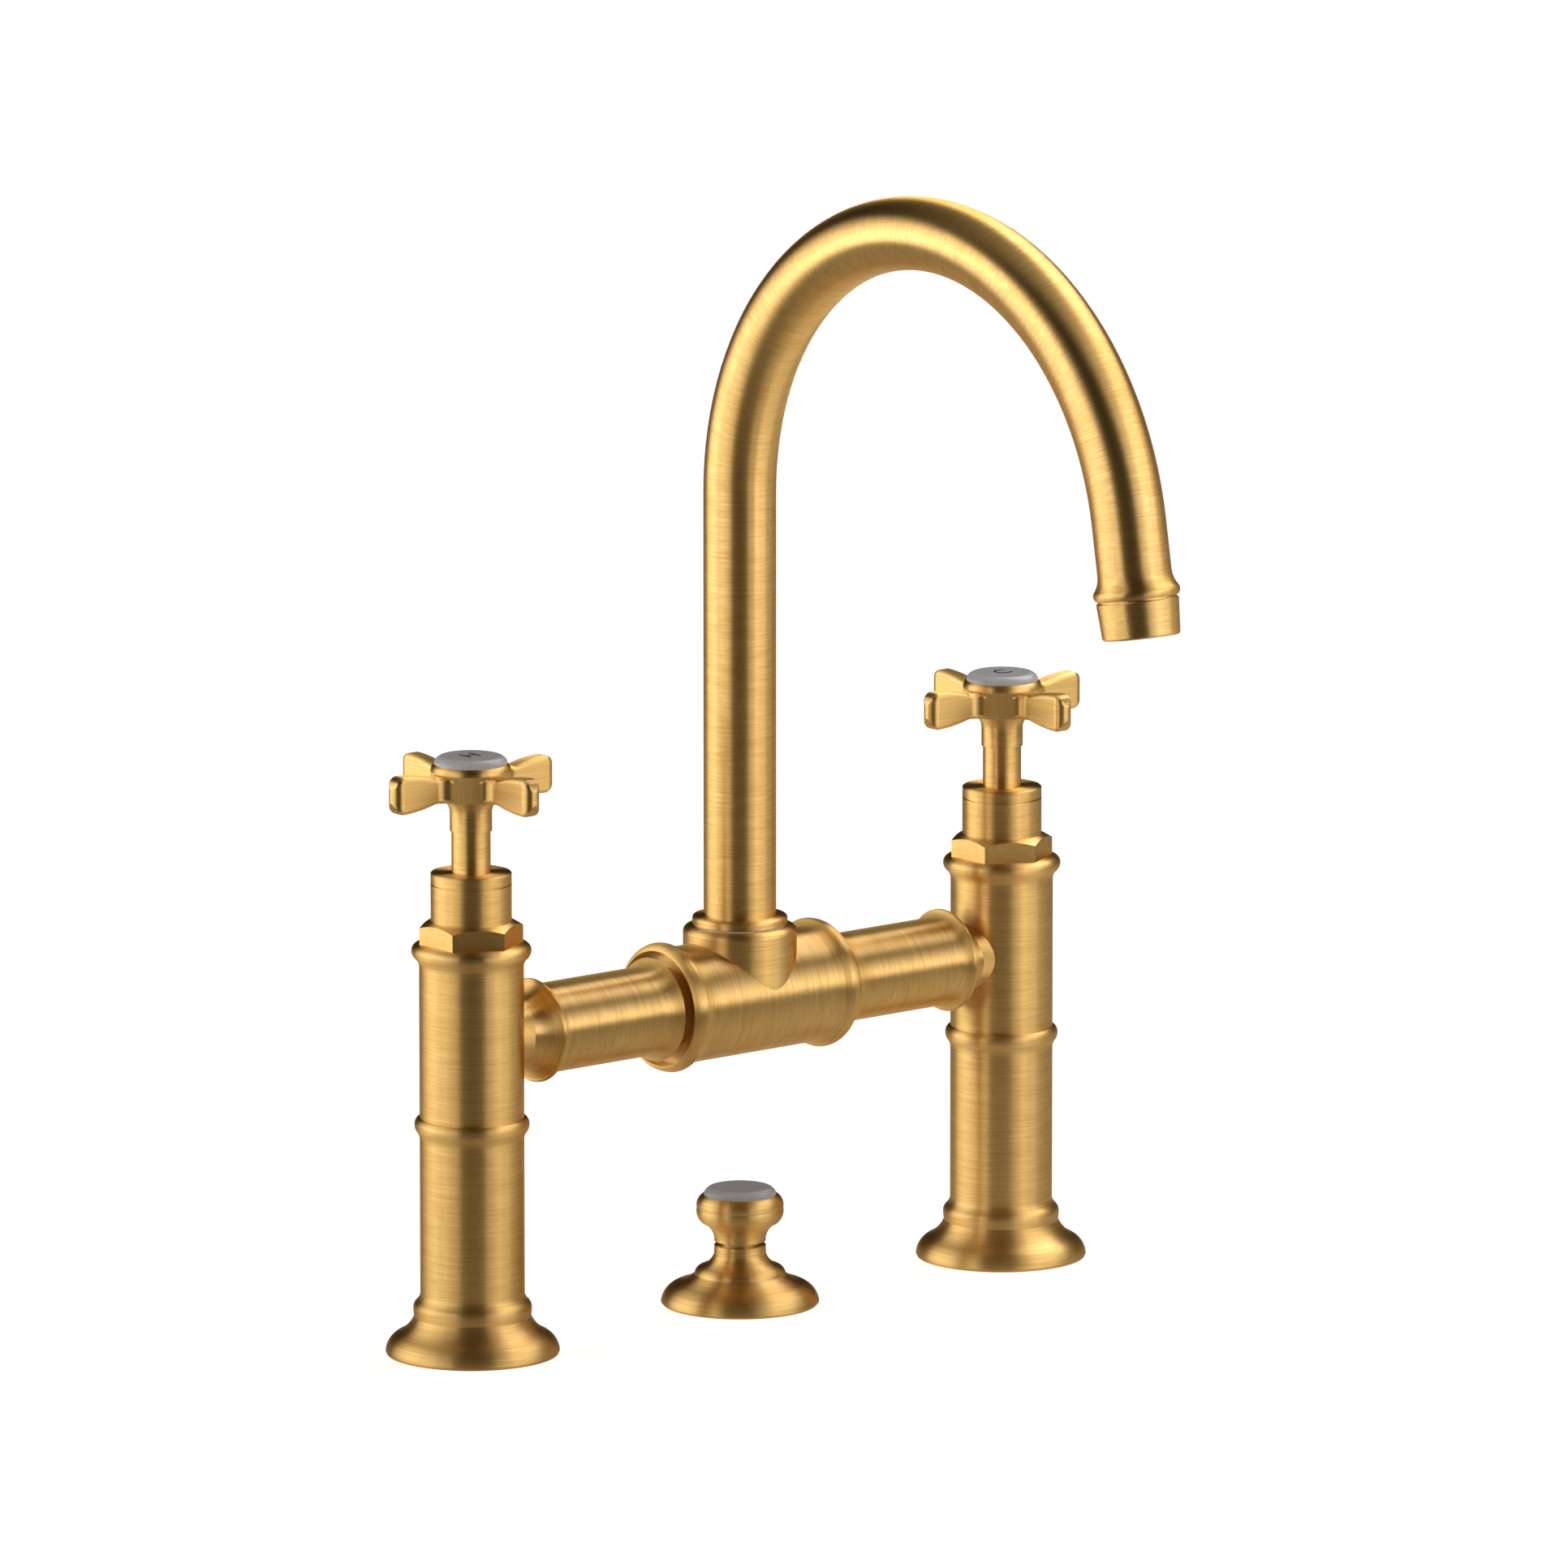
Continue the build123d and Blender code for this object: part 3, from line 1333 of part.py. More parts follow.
tail_groups["base_gaskets"].append(
    turned_ring(0, 0, gasket_thickness, rosette_gasket_radius, rosette_gasket_bore))
for name, pieces in tail_groups.items():
    with BuildPart() as group:
        for piece in pieces:
            add(piece.part)
    save(group, name)

save(bridge_body(), "bridge_body")
save(spout_collar(), "spout_collar")
save(stop_screw(), "spout_stop_screw")
save(turned_ring(0, collar_bottom - slide_ring_height, collar_bottom, slide_ring_radius,
                 collar_spigot_radius + ring_gap), "spout_slide_ring")
with BuildPart() as spout_orings:
    for groove in collar_grooves:
        add(oring(level(groove + groove_width / 2), collar_groove_floor, collar_spigot_radius + turning_gap).part)
save(spout_orings, "spout_orings")
save(spout_tube(), "spout_tube")
save(aerator_housing(), "aerator_housing")
save(aerator_gasket(), "aerator_gasket")
save(aerator_insert(), "aerator_insert")

save(waste_rosette(), "waste_rosette")
save(waste_knob(), "waste_knob")
save(ceramic_button(0, knob_seat, knob_pocket_radius), "waste_knob_button")
save(waste_rod(), "waste_rod")
save(waste_bush(), "waste_bush")
save(turned_ring(0, rubber_top - waste_washer_thickness, rubber_top, waste_washer_radius, bush_radius + fit_gap),
     "waste_washer")
save(hexagonal_nut(0, rubber_top - waste_washer_thickness - waste_nut_height, waste_nut_height, waste_nut_flats,
                   bush_radius + thread_gap), "waste_nut")
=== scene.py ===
# %% [markdown]
# # A brushed gold bridge mixer
# The metal parts of this mixer were drawn and packed in CAD, so nothing has to be modelled again here.
# What Blender adds is the look: the fine lines that a brush leaves on turned metal, satin ceramic discs,
# the letters on the two handles, and a plain studio to see them in.
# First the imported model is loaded. Every object keeps its place and its name.

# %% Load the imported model
import bpy
import json
from math import pi, radians, tan
from mathutils import Matrix, Vector


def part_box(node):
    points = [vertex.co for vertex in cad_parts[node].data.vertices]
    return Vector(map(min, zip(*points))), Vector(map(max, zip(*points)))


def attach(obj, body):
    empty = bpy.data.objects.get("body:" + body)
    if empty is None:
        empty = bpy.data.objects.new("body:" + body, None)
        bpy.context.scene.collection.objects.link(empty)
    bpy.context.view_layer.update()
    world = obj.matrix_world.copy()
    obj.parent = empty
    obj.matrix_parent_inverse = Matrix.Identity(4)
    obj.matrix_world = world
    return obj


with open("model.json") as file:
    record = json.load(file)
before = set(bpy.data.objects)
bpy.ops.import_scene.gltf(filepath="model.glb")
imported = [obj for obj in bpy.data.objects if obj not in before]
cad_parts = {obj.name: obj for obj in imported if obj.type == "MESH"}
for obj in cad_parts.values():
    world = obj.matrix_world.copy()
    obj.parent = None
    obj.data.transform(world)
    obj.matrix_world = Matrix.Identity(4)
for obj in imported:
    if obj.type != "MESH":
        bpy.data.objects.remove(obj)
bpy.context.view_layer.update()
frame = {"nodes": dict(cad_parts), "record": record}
nodes = frame["nodes"]

# %% [markdown]
# The mixer stands on a deck. A wide pale floor at the deck's height stands for it, and hides the tails
# and nuts below, as a real deck does. It is large enough to fill the picture behind the mixer, so that no
# backdrop is needed.

# %% Floor
floor_width = 40.0


def plain_material(name, color, roughness, metallic=0.0):
    material = bpy.data.materials.new(name)
    material.use_nodes = True
    surface = material.node_tree.nodes["Principled BSDF"]
    surface.inputs["Base Color"].default_value = (*color, 1)
    surface.inputs["Roughness"].default_value = roughness
    surface.inputs["Metallic"].default_value = metallic
    return material


half = floor_width / 2
floor_mesh = bpy.data.meshes.new("Pale floor")
corners = [(-half, -half, 0), (half, -half, 0), (half, half, 0), (-half, half, 0)]
floor_mesh.from_pydata(corners, [], [(0, 1, 2, 3)])
floor = bpy.data.objects.new("Pale floor", floor_mesh)
bpy.context.scene.collection.objects.link(floor)
print("the floor is", floor_width, "m wide")

# %% [markdown]
# A long lens from five metres away gives the flat perspective of a catalogue picture. The camera stands
# to the front left of the mixer and a little above it. Its place and its axes were worked out from the
# directions of the pillars and of the bridge in the photograph.

# %% Camera
camera_data = bpy.data.cameras.new("Camera")
camera_data.sensor_width = 36.0
camera_data.lens = 401.27
camera = bpy.data.objects.new("Camera", camera_data)
bpy.context.scene.collection.objects.link(camera)
right = Vector((0.76537, -0.64359, 0))
up = Vector((0.12332, 0.14665, 0.98148))
back = Vector((-0.63167, -0.75119, 0.19161))
turn = Matrix((right, up, back)).transposed()
camera.matrix_world = Matrix.Translation(Vector((-3.1793, -3.8007, 1.1208))) @ turn.to_4x4()
bpy.context.scene.camera = camera
bpy.context.scene.view_settings.view_transform = "Standard"
print("the camera is", round(camera.location.length, 3), "m from the deck's middle")

# %% [markdown]
# Brushed metal shows what stands round it more than its own colour. The photograph has a dark band down
# the middle of every upright tube, where the metal mirrors the dark side of the studio behind the camera,
# and a bright band on each side of it. Two soft boxes on the left and two on the right give those bands,
# and a high one behind the mixer lights the upper half of the bridge. A grid on each box, set by its
# spread, keeps most of its light off the floor. The world is a dim warm grey, which keeps the tops dark.

# %% Light
world = bpy.data.worlds.new("Dim studio")
world.use_nodes = True
world.node_tree.nodes["Background"].inputs["Color"].default_value = (0.025, 0.018, 0.010, 1)
bpy.context.scene.world = world
away = -Vector((back.x, back.y, 0)).normalized()
upward = Vector((0, 0, 1))


def soft_box(name, place, size, facing, radiance, grid=100):
    """Lit rectangle. Place and facing are counted to the right, away from the camera and up."""
    data = bpy.data.lights.new(name, "AREA")
    data.shape = "RECTANGLE"
    data.size, data.size_y = size
    data.spread = radians(grid)
    half = radians(grid) / 2
    data.energy = radiance * pi * data.size * data.size_y * (1 - half / tan(half))
    box = bpy.data.objects.new(name, data)
    bpy.context.scene.collection.objects.link(box)
    shines = (right * facing[0] + away * facing[1] + upward * facing[2]).normalized()
    sideways = shines.cross(away if abs(facing[2]) > 0.9 else upward).normalized()
    axes = Matrix((sideways, sideways.cross(shines), -shines)).transposed()
    middle = right * place[0] + away * place[1] + upward * place[2]
    box.matrix_world = Matrix.Translation(middle) @ axes.to_4x4()
    box.visible_camera = False
    print(name, "is", round(box.location.length, 2), "m from the deck's middle")


soft_box("Left soft box", (-0.85, 0.0, 0.46), (1.20, 0.88), (1, 0, 0), 3.6)
soft_box("Left front soft box", (-0.80, -0.80, 0.52), (0.70, 0.88), (1, 1, 0.1), 4.2, 80)
soft_box("Right soft box", (0.85, -0.30, 0.55), (0.65, 0.80), (-1, 0.3, 0), 3.2)
soft_box("Right front soft box", (0.78, -0.80, 0.52), (0.70, 0.80), (-1, 1, 0.1), 4.0, 80)
soft_box("High soft box", (0.50, 0.48, 0.95), (0.9, 0.8), (-0.50, -0.48, -0.80), 4.2, 110)

# %% [markdown]
# Shader nodes are quicker to read when each sum is one short line of code. These helpers add one node
# each, link or set its inputs, and give back its output.

# %% Node helpers


def link(tree, value, socket):
    if isinstance(value, bpy.types.NodeSocket):
        tree.links.new(value, socket)
    else:
        socket.default_value = value


def maths(tree, operation, *values):
    node = tree.nodes.new("ShaderNodeMath")
    node.operation = operation
    for value, socket in zip(values, node.inputs):
        link(tree, value, socket)
    return node.outputs[0]


def vector_maths(tree, operation, *values, output="Vector"):
    node = tree.nodes.new("ShaderNodeVectorMath")
    node.operation = operation
    for value, socket in zip(values, node.inputs):
        link(tree, value, socket)
    return node.outputs[output]


def split(tree, vector):
    node = tree.nodes.new("ShaderNodeSeparateXYZ")
    tree.links.new(vector, node.inputs[0])
    return node.outputs


def join(tree, x, y, z):
    node = tree.nodes.new("ShaderNodeCombineXYZ")
    for value, socket in zip((x, y, z), node.inputs):
        link(tree, value, socket)
    return node.outputs[0]


def choose(tree, factor, first, second, kind="FLOAT"):
    """First where the factor is 0, second where it is 1."""
    low, high, result = {"FLOAT": (2, 3, 0), "VECTOR": (4, 5, 1), "RGBA": (6, 7, 2)}[kind]
    node = tree.nodes.new("ShaderNodeMix")
    node.data_type = kind
    link(tree, factor, node.inputs[0])
    link(tree, first, node.inputs[low])
    link(tree, second, node.inputs[high])
    return node.outputs[result]


def new_group(name, inputs, outputs):
    """Empty shader node group with named sockets. Returns its tree, its inputs and its output node."""
    tree = bpy.data.node_groups.new(name, "ShaderNodeTree")
    for socket, kind in inputs:
        tree.interface.new_socket(socket, in_out="INPUT", socket_type="NodeSocket" + kind)
    for socket, kind in outputs:
        tree.interface.new_socket(socket, in_out="OUTPUT", socket_type="NodeSocket" + kind)
    return tree, tree.nodes.new("NodeGroupInput").outputs, tree.nodes.new("NodeGroupOutput").inputs


def use_group(tree, group, **values):
    node = tree.nodes.new("ShaderNodeGroup")
    node.node_tree = group
    for name, value in values.items():
        link(tree, value, node.inputs[name])
    return node.outputs


# %% [markdown]
# The photograph's background is white. The floor gets there with a share of its own light, which only the
# camera and mirror-like rays see, so that no extra light falls on the mixer and the metal shows the same
# white. Mirror-like rays get less of it, and none in front of the mixer, on the dark side of the studio.
# The rest of the floor's brightness is real light, so the mixer keeps its soft shadow.

# %% Pale floor
floor_color = 0.4
floor_material = plain_material("Pale floor", (floor_color, 0.93 * floor_color, 0.8 * floor_color), 0.9)
floor_tree = floor_material.node_tree
floor_surface = floor_tree.nodes["Principled BSDF"]
floor_surface.inputs["Specular IOR Level"].default_value = 0.0
floor_surface.inputs["Emission Color"].default_value = (1, 1, 1, 1)


def fade(tree, value, start, end, low, high):
    """Smooth step from low at start to high at end."""
    node = tree.nodes.new("ShaderNodeMapRange")
    node.interpolation_type = "SMOOTHSTEP"
    for name, number in (("From Min", start), ("From Max", end), ("To Min", low), ("To Max", high)):
        node.inputs[name].default_value = number
    tree.links.new(value, node.inputs["Value"])
    return node.outputs["Result"]


rays = floor_tree.nodes.new("ShaderNodeLightPath").outputs
floor_place = floor_tree.nodes.new("ShaderNodeTexCoord").outputs["Object"]
behind = vector_maths(floor_tree, "DOT_PRODUCT", floor_place, tuple(away), output="Value")
distance = vector_maths(floor_tree, "LENGTH", floor_place, output="Value")
glow = fade(floor_tree, distance, 0.1, 1.2, 0.86, 1.0)
mirrored = maths(floor_tree, "MAXIMUM", rays["Is Glossy Ray"], rays["Is Transmission Ray"])
mirrored = maths(floor_tree, "MULTIPLY", mirrored, fade(floor_tree, behind, -0.30, 0.10, 0.0, 0.4))
seen = maths(floor_tree, "MAXIMUM", rays["Is Camera Ray"], mirrored)
floor_tree.links.new(maths(floor_tree, "MULTIPLY", seen, glow), floor_surface.inputs["Emission Strength"])
floor.data.materials.append(floor_material)
print("the floor sends back", floor_color, "of the light that falls on it")

# %% [markdown]
# Most pieces are turned on a lathe and brushed as they spin, so the lines run round their axis. This
# group turns a position into lathe measures: how far along the axis it is, how far from the axis, and
# which way round. The way round is given as a small vector, because an angle would jump at half a turn.
# It also gives the direction in which the brush moved, which the metal needs for its stretched gloss.

# %% Lathe measures
lathe, given, made = new_group(
    "Lathe measures",
    [("Position", "Vector"), ("Centre", "Vector"), ("Axis", "Vector")],
    [("Along", "Float"), ("Out", "Float"), ("Round", "Vector"), ("Brushed", "Vector")],
)
offset = vector_maths(lathe, "SUBTRACT", given["Position"], given["Centre"])
along = vector_maths(lathe, "DOT_PRODUCT", offset, given["Axis"], output="Value")
on_axis = vector_maths(lathe, "SCALE", given["Axis"])
lathe.links.new(along, on_axis.node.inputs["Scale"])
outward = vector_maths(lathe, "SUBTRACT", offset, on_axis)
lathe.links.new(along, made["Along"])
lathe.links.new(vector_maths(lathe, "LENGTH", outward, output="Value"), made["Out"])
lathe.links.new(vector_maths(lathe, "NORMALIZE", outward), made["Round"])
brushed = vector_maths(lathe, "CROSS_PRODUCT", given["Axis"], outward)
lathe.links.new(vector_maths(lathe, "NORMALIZE", brushed), made["Brushed"])

# %% [markdown]
# The spout is a straight tube that was bent, and its lines still run round it. Its axis is a line and
# then an arc, so its measures come from a group of its own: below the arch, along is the height, and in
# the arch it is the angle times the bending radius.

# %% Bent tube measures
bend, given, made = new_group(
    "Bent tube measures",
    [("Position", "Vector"), ("Bend Centre", "Vector"), ("Bend Radius", "Float")],
    [("Along", "Float"), ("Out", "Float"), ("Round", "Vector"), ("Brushed", "Vector")],
)
offset = split(bend, vector_maths(bend, "SUBTRACT", given["Position"], given["Bend Centre"]))
angle = maths(bend, "ARCTAN2", offset["Z"], offset["Y"])
below_arch = maths(bend, "LESS_THAN", offset["Z"], 0.0)
in_riser = maths(bend, "MULTIPLY", below_arch, maths(bend, "GREATER_THAN", offset["Y"], 0.0))
full_turn = maths(bend, "MODULO", maths(bend, "ADD", angle, 2 * pi), 2 * pi)
arc = maths(bend, "MULTIPLY", full_turn, given["Bend Radius"])
bend.links.new(choose(bend, in_riser, arc, offset["Z"]), made["Along"])
reach = vector_maths(bend, "LENGTH", join(bend, 0.0, offset["Y"], offset["Z"]), output="Value")
riser_side = maths(bend, "SUBTRACT", offset["Y"], given["Bend Radius"])
arch_side = maths(bend, "SUBTRACT", reach, given["Bend Radius"])
outward = join(bend, offset["X"], choose(bend, in_riser, arch_side, riser_side), 0.0)
bend.links.new(vector_maths(bend, "LENGTH", outward, output="Value"), made["Out"])
bend.links.new(vector_maths(bend, "NORMALIZE", outward), made["Round"])
centre_line = vector_maths(bend, "NORMALIZE", join(bend, 0.0, offset["Y"], offset["Z"]))
arch_axis = vector_maths(bend, "CROSS_PRODUCT", (1.0, 0.0, 0.0), centre_line)
tube_axis = choose(bend, in_riser, arch_axis, (0.0, 0.0, 1.0), "VECTOR")
normal = bend.nodes.new("ShaderNodeNewGeometry").outputs["Normal"]
brushed = vector_maths(bend, "CROSS_PRODUCT", tube_axis, normal)
bend.links.new(vector_maths(bend, "NORMALIZE", brushed), made["Brushed"])

# %% [markdown]
# The brush leaves thousands of fine lines. One noise makes them all: it is stretched, so that it changes
# within a fraction of a millimetre across the lines and only slowly along them. A second, coarser noise
# makes some bands of lines a little duller than others, as on the real metal.

# %% Brush lines
lines, given, made = new_group(
    "Brush lines",
    [("Along", "Float"), ("Out", "Float"), ("Round", "Vector"),
     ("Lines Per Metre", "Float"), ("Drag", "Float")],
    [("Lines", "Float"), ("Bands", "Float")],
)


def stretched_noise(tree, given, scale, detail):
    round_way = split(tree, given["Round"])
    density = maths(tree, "MULTIPLY", given["Lines Per Metre"], scale)
    across = maths(tree, "MULTIPLY", given["Along"], density)
    outward = maths(tree, "MULTIPLY", given["Out"], density)
    first = maths(tree, "MULTIPLY", maths(tree, "ADD", round_way["X"], round_way["Z"]), given["Drag"])
    second = maths(tree, "MULTIPLY", maths(tree, "SUBTRACT", round_way["Y"], round_way["Z"]), given["Drag"])
    noise = tree.nodes.new("ShaderNodeTexNoise")
    noise.noise_dimensions = "4D"
    noise.inputs["Scale"].default_value = 1.0
    noise.inputs["Detail"].default_value = detail
    noise.inputs["Roughness"].default_value = 0.6
    tree.links.new(join(tree, across, outward, first), noise.inputs["Vector"])
    tree.links.new(second, noise.inputs["W"])
    return noise.outputs["Fac"]


band_scale = 0.12
lines.links.new(stretched_noise(lines, given, 1.0, 3.0), made["Lines"])
lines.links.new(stretched_noise(lines, given, band_scale, 1.0), made["Bands"])
print("a band is about", round(1 / band_scale), "lines wide")

# %% [markdown]
# The gold is one finish with different ways of brushing. Each material holds its own Principled BSDF:
# fully metallic, a warm brown gold, with the lines in its colour, its roughness and its bumps, under a
# thin clear coat. The anisotropy is turned a quarter, because the gloss spreads across the lines.
#
# The function turned gives the measures of one lathe. The function tee gives those of two crossed
# lathes, for a tube with a branch.

# %% Brushed gold
gold_low = (0.72, 0.425, 0.11)
gold_high = (0.95, 0.63, 0.235)
band_share = 0.2
line_depth = 0.00003


def ramp(tree, value, low, high):
    """Spread a noise value from its middle range to the range from low to high."""
    node = tree.nodes.new("ShaderNodeMapRange")
    node.inputs["From Min"].default_value = 0.3
    node.inputs["From Max"].default_value = 0.7
    node.inputs["To Min"].default_value = low
    node.inputs["To Max"].default_value = high
    tree.links.new(value, node.inputs["Value"])
    return node.outputs["Result"]


def brushed_gold(name, measure, lines_per_metre=2600.0, drag=1.2, bump=0.25, roughness=(0.44, 0.50)):
    """Gold material. The function measure adds the nodes that say where a point is on the brushed form."""
    material = bpy.data.materials.new(name)
    material.use_nodes = True
    tree = material.node_tree
    surface = tree.nodes["Principled BSDF"]
    place = tree.nodes.new("ShaderNodeTexCoord").outputs["Object"]
    at = measure(tree, place)
    marks = use_group(tree, lines, **{"Along": at["Along"], "Out": at["Out"], "Round": at["Round"],
                                      "Lines Per Metre": lines_per_metre, "Drag": drag})
    fine = maths(tree, "MULTIPLY", marks["Lines"], 1 - band_share)
    both = maths(tree, "ADD", fine, maths(tree, "MULTIPLY", marks["Bands"], band_share))
    color = choose(tree, ramp(tree, both, 0.0, 1.0), (*gold_low, 1), (*gold_high, 1), "RGBA")
    tree.links.new(color, surface.inputs["Base Color"])
    tree.links.new(ramp(tree, both, roughness[1], roughness[0]), surface.inputs["Roughness"])
    surface.inputs["Metallic"].default_value = 1.0
    surface.inputs["Specular Tint"].default_value = (0.70, 0.50, 0.28, 1)
    surface.inputs["Anisotropic"].default_value = 0.92
    surface.inputs["Coat Weight"].default_value = 0.35
    surface.inputs["Coat Roughness"].default_value = 0.3
    surface.inputs["Anisotropic Rotation"].default_value = 0.25
    bumps = tree.nodes.new("ShaderNodeBump")
    bumps.inputs["Strength"].default_value = bump
    bumps.inputs["Distance"].default_value = line_depth
    tree.links.new(marks["Lines"], bumps.inputs["Height"])
    tree.links.new(bumps.outputs["Normal"], surface.inputs["Normal"])
    to_world = tree.nodes.new("ShaderNodeVectorTransform")
    to_world.vector_type = "VECTOR"
    to_world.convert_from = "OBJECT"
    to_world.convert_to = "WORLD"
    tree.links.new(at["Brushed"], to_world.inputs[0])
    tree.links.new(to_world.outputs[0], surface.inputs["Tangent"])
    return material


def turned(centre, axis):
    def measure(tree, place):
        return use_group(tree, lathe, **{"Position": place, "Centre": centre, "Axis": axis})
    return measure


def tee(stem, branch, branch_height, radius, reach):
    """Measures of two crossed lathes: branch outside the stem's radius, within reach of the branch's height."""
    def measure(tree, place):
        first, second = turned(*stem)(tree, place), turned(*branch)(tree, place)
        near = maths(tree, "ABSOLUTE", maths(tree, "SUBTRACT", first["Along"], branch_height))
        other = maths(tree, "MULTIPLY", maths(tree, "GREATER_THAN", first["Out"], radius),
                      maths(tree, "LESS_THAN", near, reach))
        kinds = {"Along": "FLOAT", "Out": "FLOAT", "Round": "VECTOR", "Brushed": "VECTOR"}
        return {name: choose(tree, other, first[name], second[name], kind) for name, kind in kinds.items()}
    return measure


# %% [markdown]
# Upright pieces are turned about their pillar, so each pillar has its own centre. The bridge tubes are
# turned about the bridge's axis. The valve bodies and the middle of the bridge have a branch, so they use
# both axes. A CAD object takes a finish through its material slots, which leaves its mesh alone.

# %% Finish the turned pieces


def finish(material, *names):
    for name in names:
        nodes[name].data.materials.clear()
        nodes[name].data.materials.append(material)


column_low, column_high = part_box("cold_lower_column")
pillar_x = (column_low.x + column_high.x) / 2
bridge_low, bridge_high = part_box("cold_bridge_tube")
bridge_height = (bridge_low.z + bridge_high.z) / 2
upright_axis = (0.0, 0.0, 1.0)
print("pillars at", round(pillar_x, 4), "bridge at", round(bridge_height, 4))

bridge_line = ((0.0, 0.0, bridge_height), (1.0, 0.0, 0.0))
branch_start = 0.0012
branch_reach = 0.018
barrel_radius = 0.01703
boss_reach = 0.0185
column_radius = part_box("cold_valve_body")[1].y
print("the valve bodies are", round(2 * column_radius, 4), "m across")

for side, x in (("hot", -pillar_x), ("cold", pillar_x)):
    pillar = ((x, 0.0, 0.0), upright_axis)
    pillar_gold = brushed_gold(f"Brushed gold {side} pillar", turned(*pillar))
    finish(pillar_gold, *(f"{side}_{piece}" for piece in (
        "base_flange", "lower_column", "bonnet_nut", "bonnet_sleeve", "bonnet_ring", "stem_sleeve")))
    body = tee(pillar, bridge_line, bridge_height, column_radius + branch_start, branch_reach)
    finish(brushed_gold(f"Brushed gold {side} body", body), f"{side}_valve_body")
middle_gold = brushed_gold("Brushed gold middle", turned((0.0, 0.0, 0.0), upright_axis))
finish(middle_gold, "spout_collar", "waste_rosette", "waste_knob")
finish(brushed_gold("Brushed gold bridge", turned(*bridge_line)), "hot_bridge_tube", "cold_bridge_tube")
boss = ((0.0, 0.0, 0.0), upright_axis)
finish(brushed_gold("Brushed gold tee", tee(bridge_line, boss, 0.0, barrel_radius, boss_reach)), "bridge_body")

# %% [markdown]
# The spout's bend starts where the riser ends. Its bending radius is a number from the CAD model, and the
# arch's centre follows from it and from the top of the tube.

# %% Finish the spout
spout_low, spout_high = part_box("spout_tube")
tube_radius = spout_high.x
arch_radius = 0.0857
arch_centre = (0.0, -arch_radius, spout_high.z - arch_radius - tube_radius)
print("arch centre", [round(value, 4) for value in arch_centre])


def bent(tree, place):
    return use_group(tree, bend, **{"Position": place, "Bend Centre": arch_centre, "Bend Radius": arch_radius})


finish(brushed_gold("Brushed gold spout", bent), "spout_tube", "aerator_housing")

# %% [markdown]
# The cross handle is brushed in three ways: round the neck, up and down on the hub, and along each arm.
# The hub's lines come from the same group, fed with the way round as its length and the height as its
# way round.

# %% Brush the handles
hub_radius = 0.0117
hub_height = 0.0078
crown_height = 0.0021
hub_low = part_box("hot_cross_handle")[1].z - crown_height - hub_height
rise_stretch = 30.0
print("the hub starts", round(hub_low, 4), "m above the deck")


def crossed(x):
    def measure(tree, place):
        at = turned((x, 0.0, 0.0), upright_axis)(tree, place)
        way = split(tree, at["Round"])
        angle = maths(tree, "ABSOLUTE", maths(tree, "ARCTAN2", way["Y"], way["X"]))
        arc = maths(tree, "MULTIPLY", angle, hub_radius)
        rise = join(tree, maths(tree, "MULTIPLY", at["Along"], rise_stretch), 0.0, 0.0)
        on_arm = maths(tree, "GREATER_THAN", at["Out"], hub_radius)
        above_neck = maths(tree, "GREATER_THAN", at["Along"], hub_low)
        below_crown = maths(tree, "LESS_THAN", at["Along"], hub_low + hub_height)
        on_band = maths(tree, "MULTIPLY", above_neck, below_crown)
        on_hub = maths(tree, "MULTIPLY", on_band, maths(tree, "SUBTRACT", 1.0, on_arm))
        brushed = choose(tree, on_hub, at["Brushed"], (0.0, 0.0, 1.0), "VECTOR")
        return {"Along": choose(tree, on_hub, at["Along"], arc), "Out": 0.0,
                "Round": choose(tree, on_hub, at["Round"], rise, "VECTOR"),
                "Brushed": choose(tree, on_arm, brushed, at["Round"], "VECTOR")}
    return measure


for side, x in (("hot", -pillar_x), ("cold", pillar_x)):
    finish(brushed_gold(f"Brushed gold {side} handle", crossed(x), bump=0.15), f"{side}_cross_handle")

# %% [markdown]
# The discs on the handles and on the pull knob are glazed ceramic with a satin surface. The photograph
# shows them mid grey on top, with a paler rounded edge. A very fine mottling keeps the glaze from
# looking like plastic.

# %% Ceramic


def mottled(name, low, high, size, roughness, metallic=0.0):
    """Plain material whose colour wanders a little between two tones."""
    material = plain_material(name, low, roughness, metallic)
    tree = material.node_tree
    noise = tree.nodes.new("ShaderNodeTexNoise")
    noise.inputs["Scale"].default_value = 1.0 / size
    tree.links.new(tree.nodes.new("ShaderNodeTexCoord").outputs["Object"], noise.inputs["Vector"])
    color = choose(tree, ramp(tree, noise.outputs["Fac"], 0.0, 1.0), (*low, 1), (*high, 1), "RGBA")
    tree.links.new(color, tree.nodes["Principled BSDF"].inputs["Base Color"])
    return material


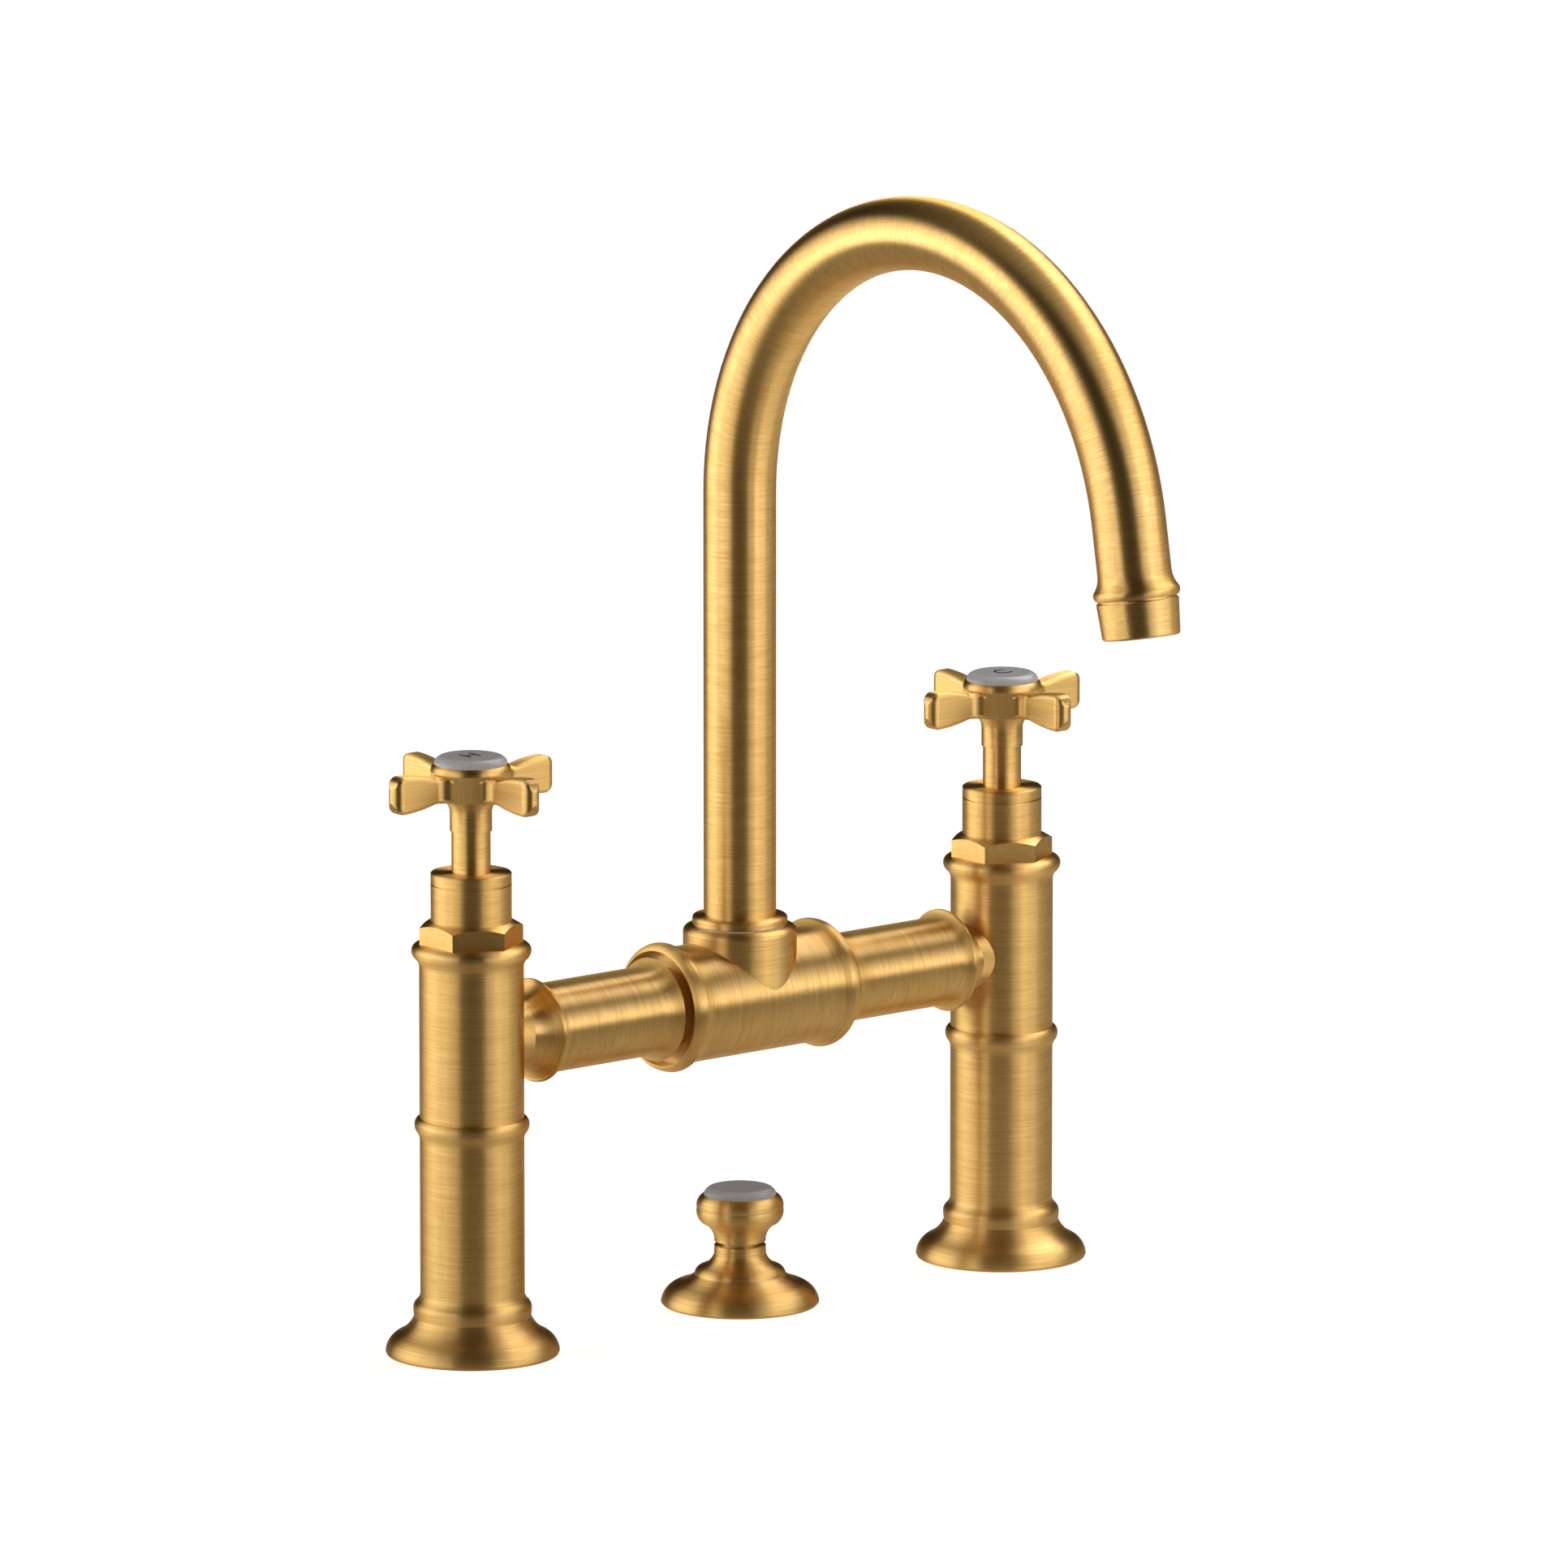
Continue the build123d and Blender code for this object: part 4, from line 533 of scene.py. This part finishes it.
mottle_size = 0.001
ceramic = mottled("Satin ceramic", (0.42, 0.42, 0.42), (0.46, 0.46, 0.465), mottle_size, 0.3)
finish(ceramic, "hot_handle_button", "cold_handle_button", "waste_knob_button")
print("the ceramic's mottling is about", mottle_size, "m across")

# %% [markdown]
# The pieces below the deck and inside the pillars are plain: raw turned brass, black rubber, steel,
# pale alumina discs in the valves, and the white plastic of the flow straightener.

# %% Inner pieces
raw_brass = mottled("Raw brass", (0.60, 0.42, 0.16), (0.68, 0.50, 0.22), 0.004, 0.35, 1.0)
rubber = mottled("Black rubber", (0.016, 0.016, 0.016), (0.03, 0.03, 0.03), 0.002, 0.7)
steel = mottled("Steel", (0.50, 0.50, 0.51), (0.60, 0.60, 0.61), 0.003, 0.3, 1.0)
alumina = mottled("Alumina", (0.76, 0.75, 0.72), (0.82, 0.81, 0.78), 0.002, 0.4)
plastic = mottled("White plastic", (0.70, 0.70, 0.68), (0.76, 0.76, 0.74), 0.002, 0.45)
for record_slot, material in (("raw_brass", raw_brass), ("black_rubber", rubber), ("steel", steel),
                              ("alumina", alumina), ("white_plastic", plastic)):
    pieces = [piece["node"] for piece in frame["record"]["subparts"] if piece["material_slot"] == record_slot]
    finish(material, *pieces)
    print(material.name, "on", len(pieces), "pieces")

# %% [markdown]
# Each handle's disc tells hot from cold. One plain capital letter does that in any language that uses
# them: H on the left and C on the right. The letters are fired into the glaze, so they are only a
# hair thicker than the disc, and they turn with their handles.

# %% Letters
letter_size = 0.0075
letter_lift = 0.00002
letter_half_thickness = 0.00003
ink = plain_material("Fired black", (0.012, 0.012, 0.012), 0.4)
for side, letter in (("hot", "H"), ("cold", "C")):
    low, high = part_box(f"{side}_handle_button")
    text = bpy.data.curves.new(f"{side}_letter", "FONT")
    text.body = letter
    text.size = letter_size
    text.align_x = "CENTER"
    text.align_y = "CENTER"
    text.extrude = letter_half_thickness
    mark = bpy.data.objects.new(f"{side}_letter", text)
    bpy.context.scene.collection.objects.link(mark)
    mark.location = ((low.x + high.x) / 2, 0, high.z + letter_lift)
    text.materials.append(ink)
    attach(mark, f"{side}_handle")
    print(letter, "stands at", [round(value, 4) for value in mark.location])
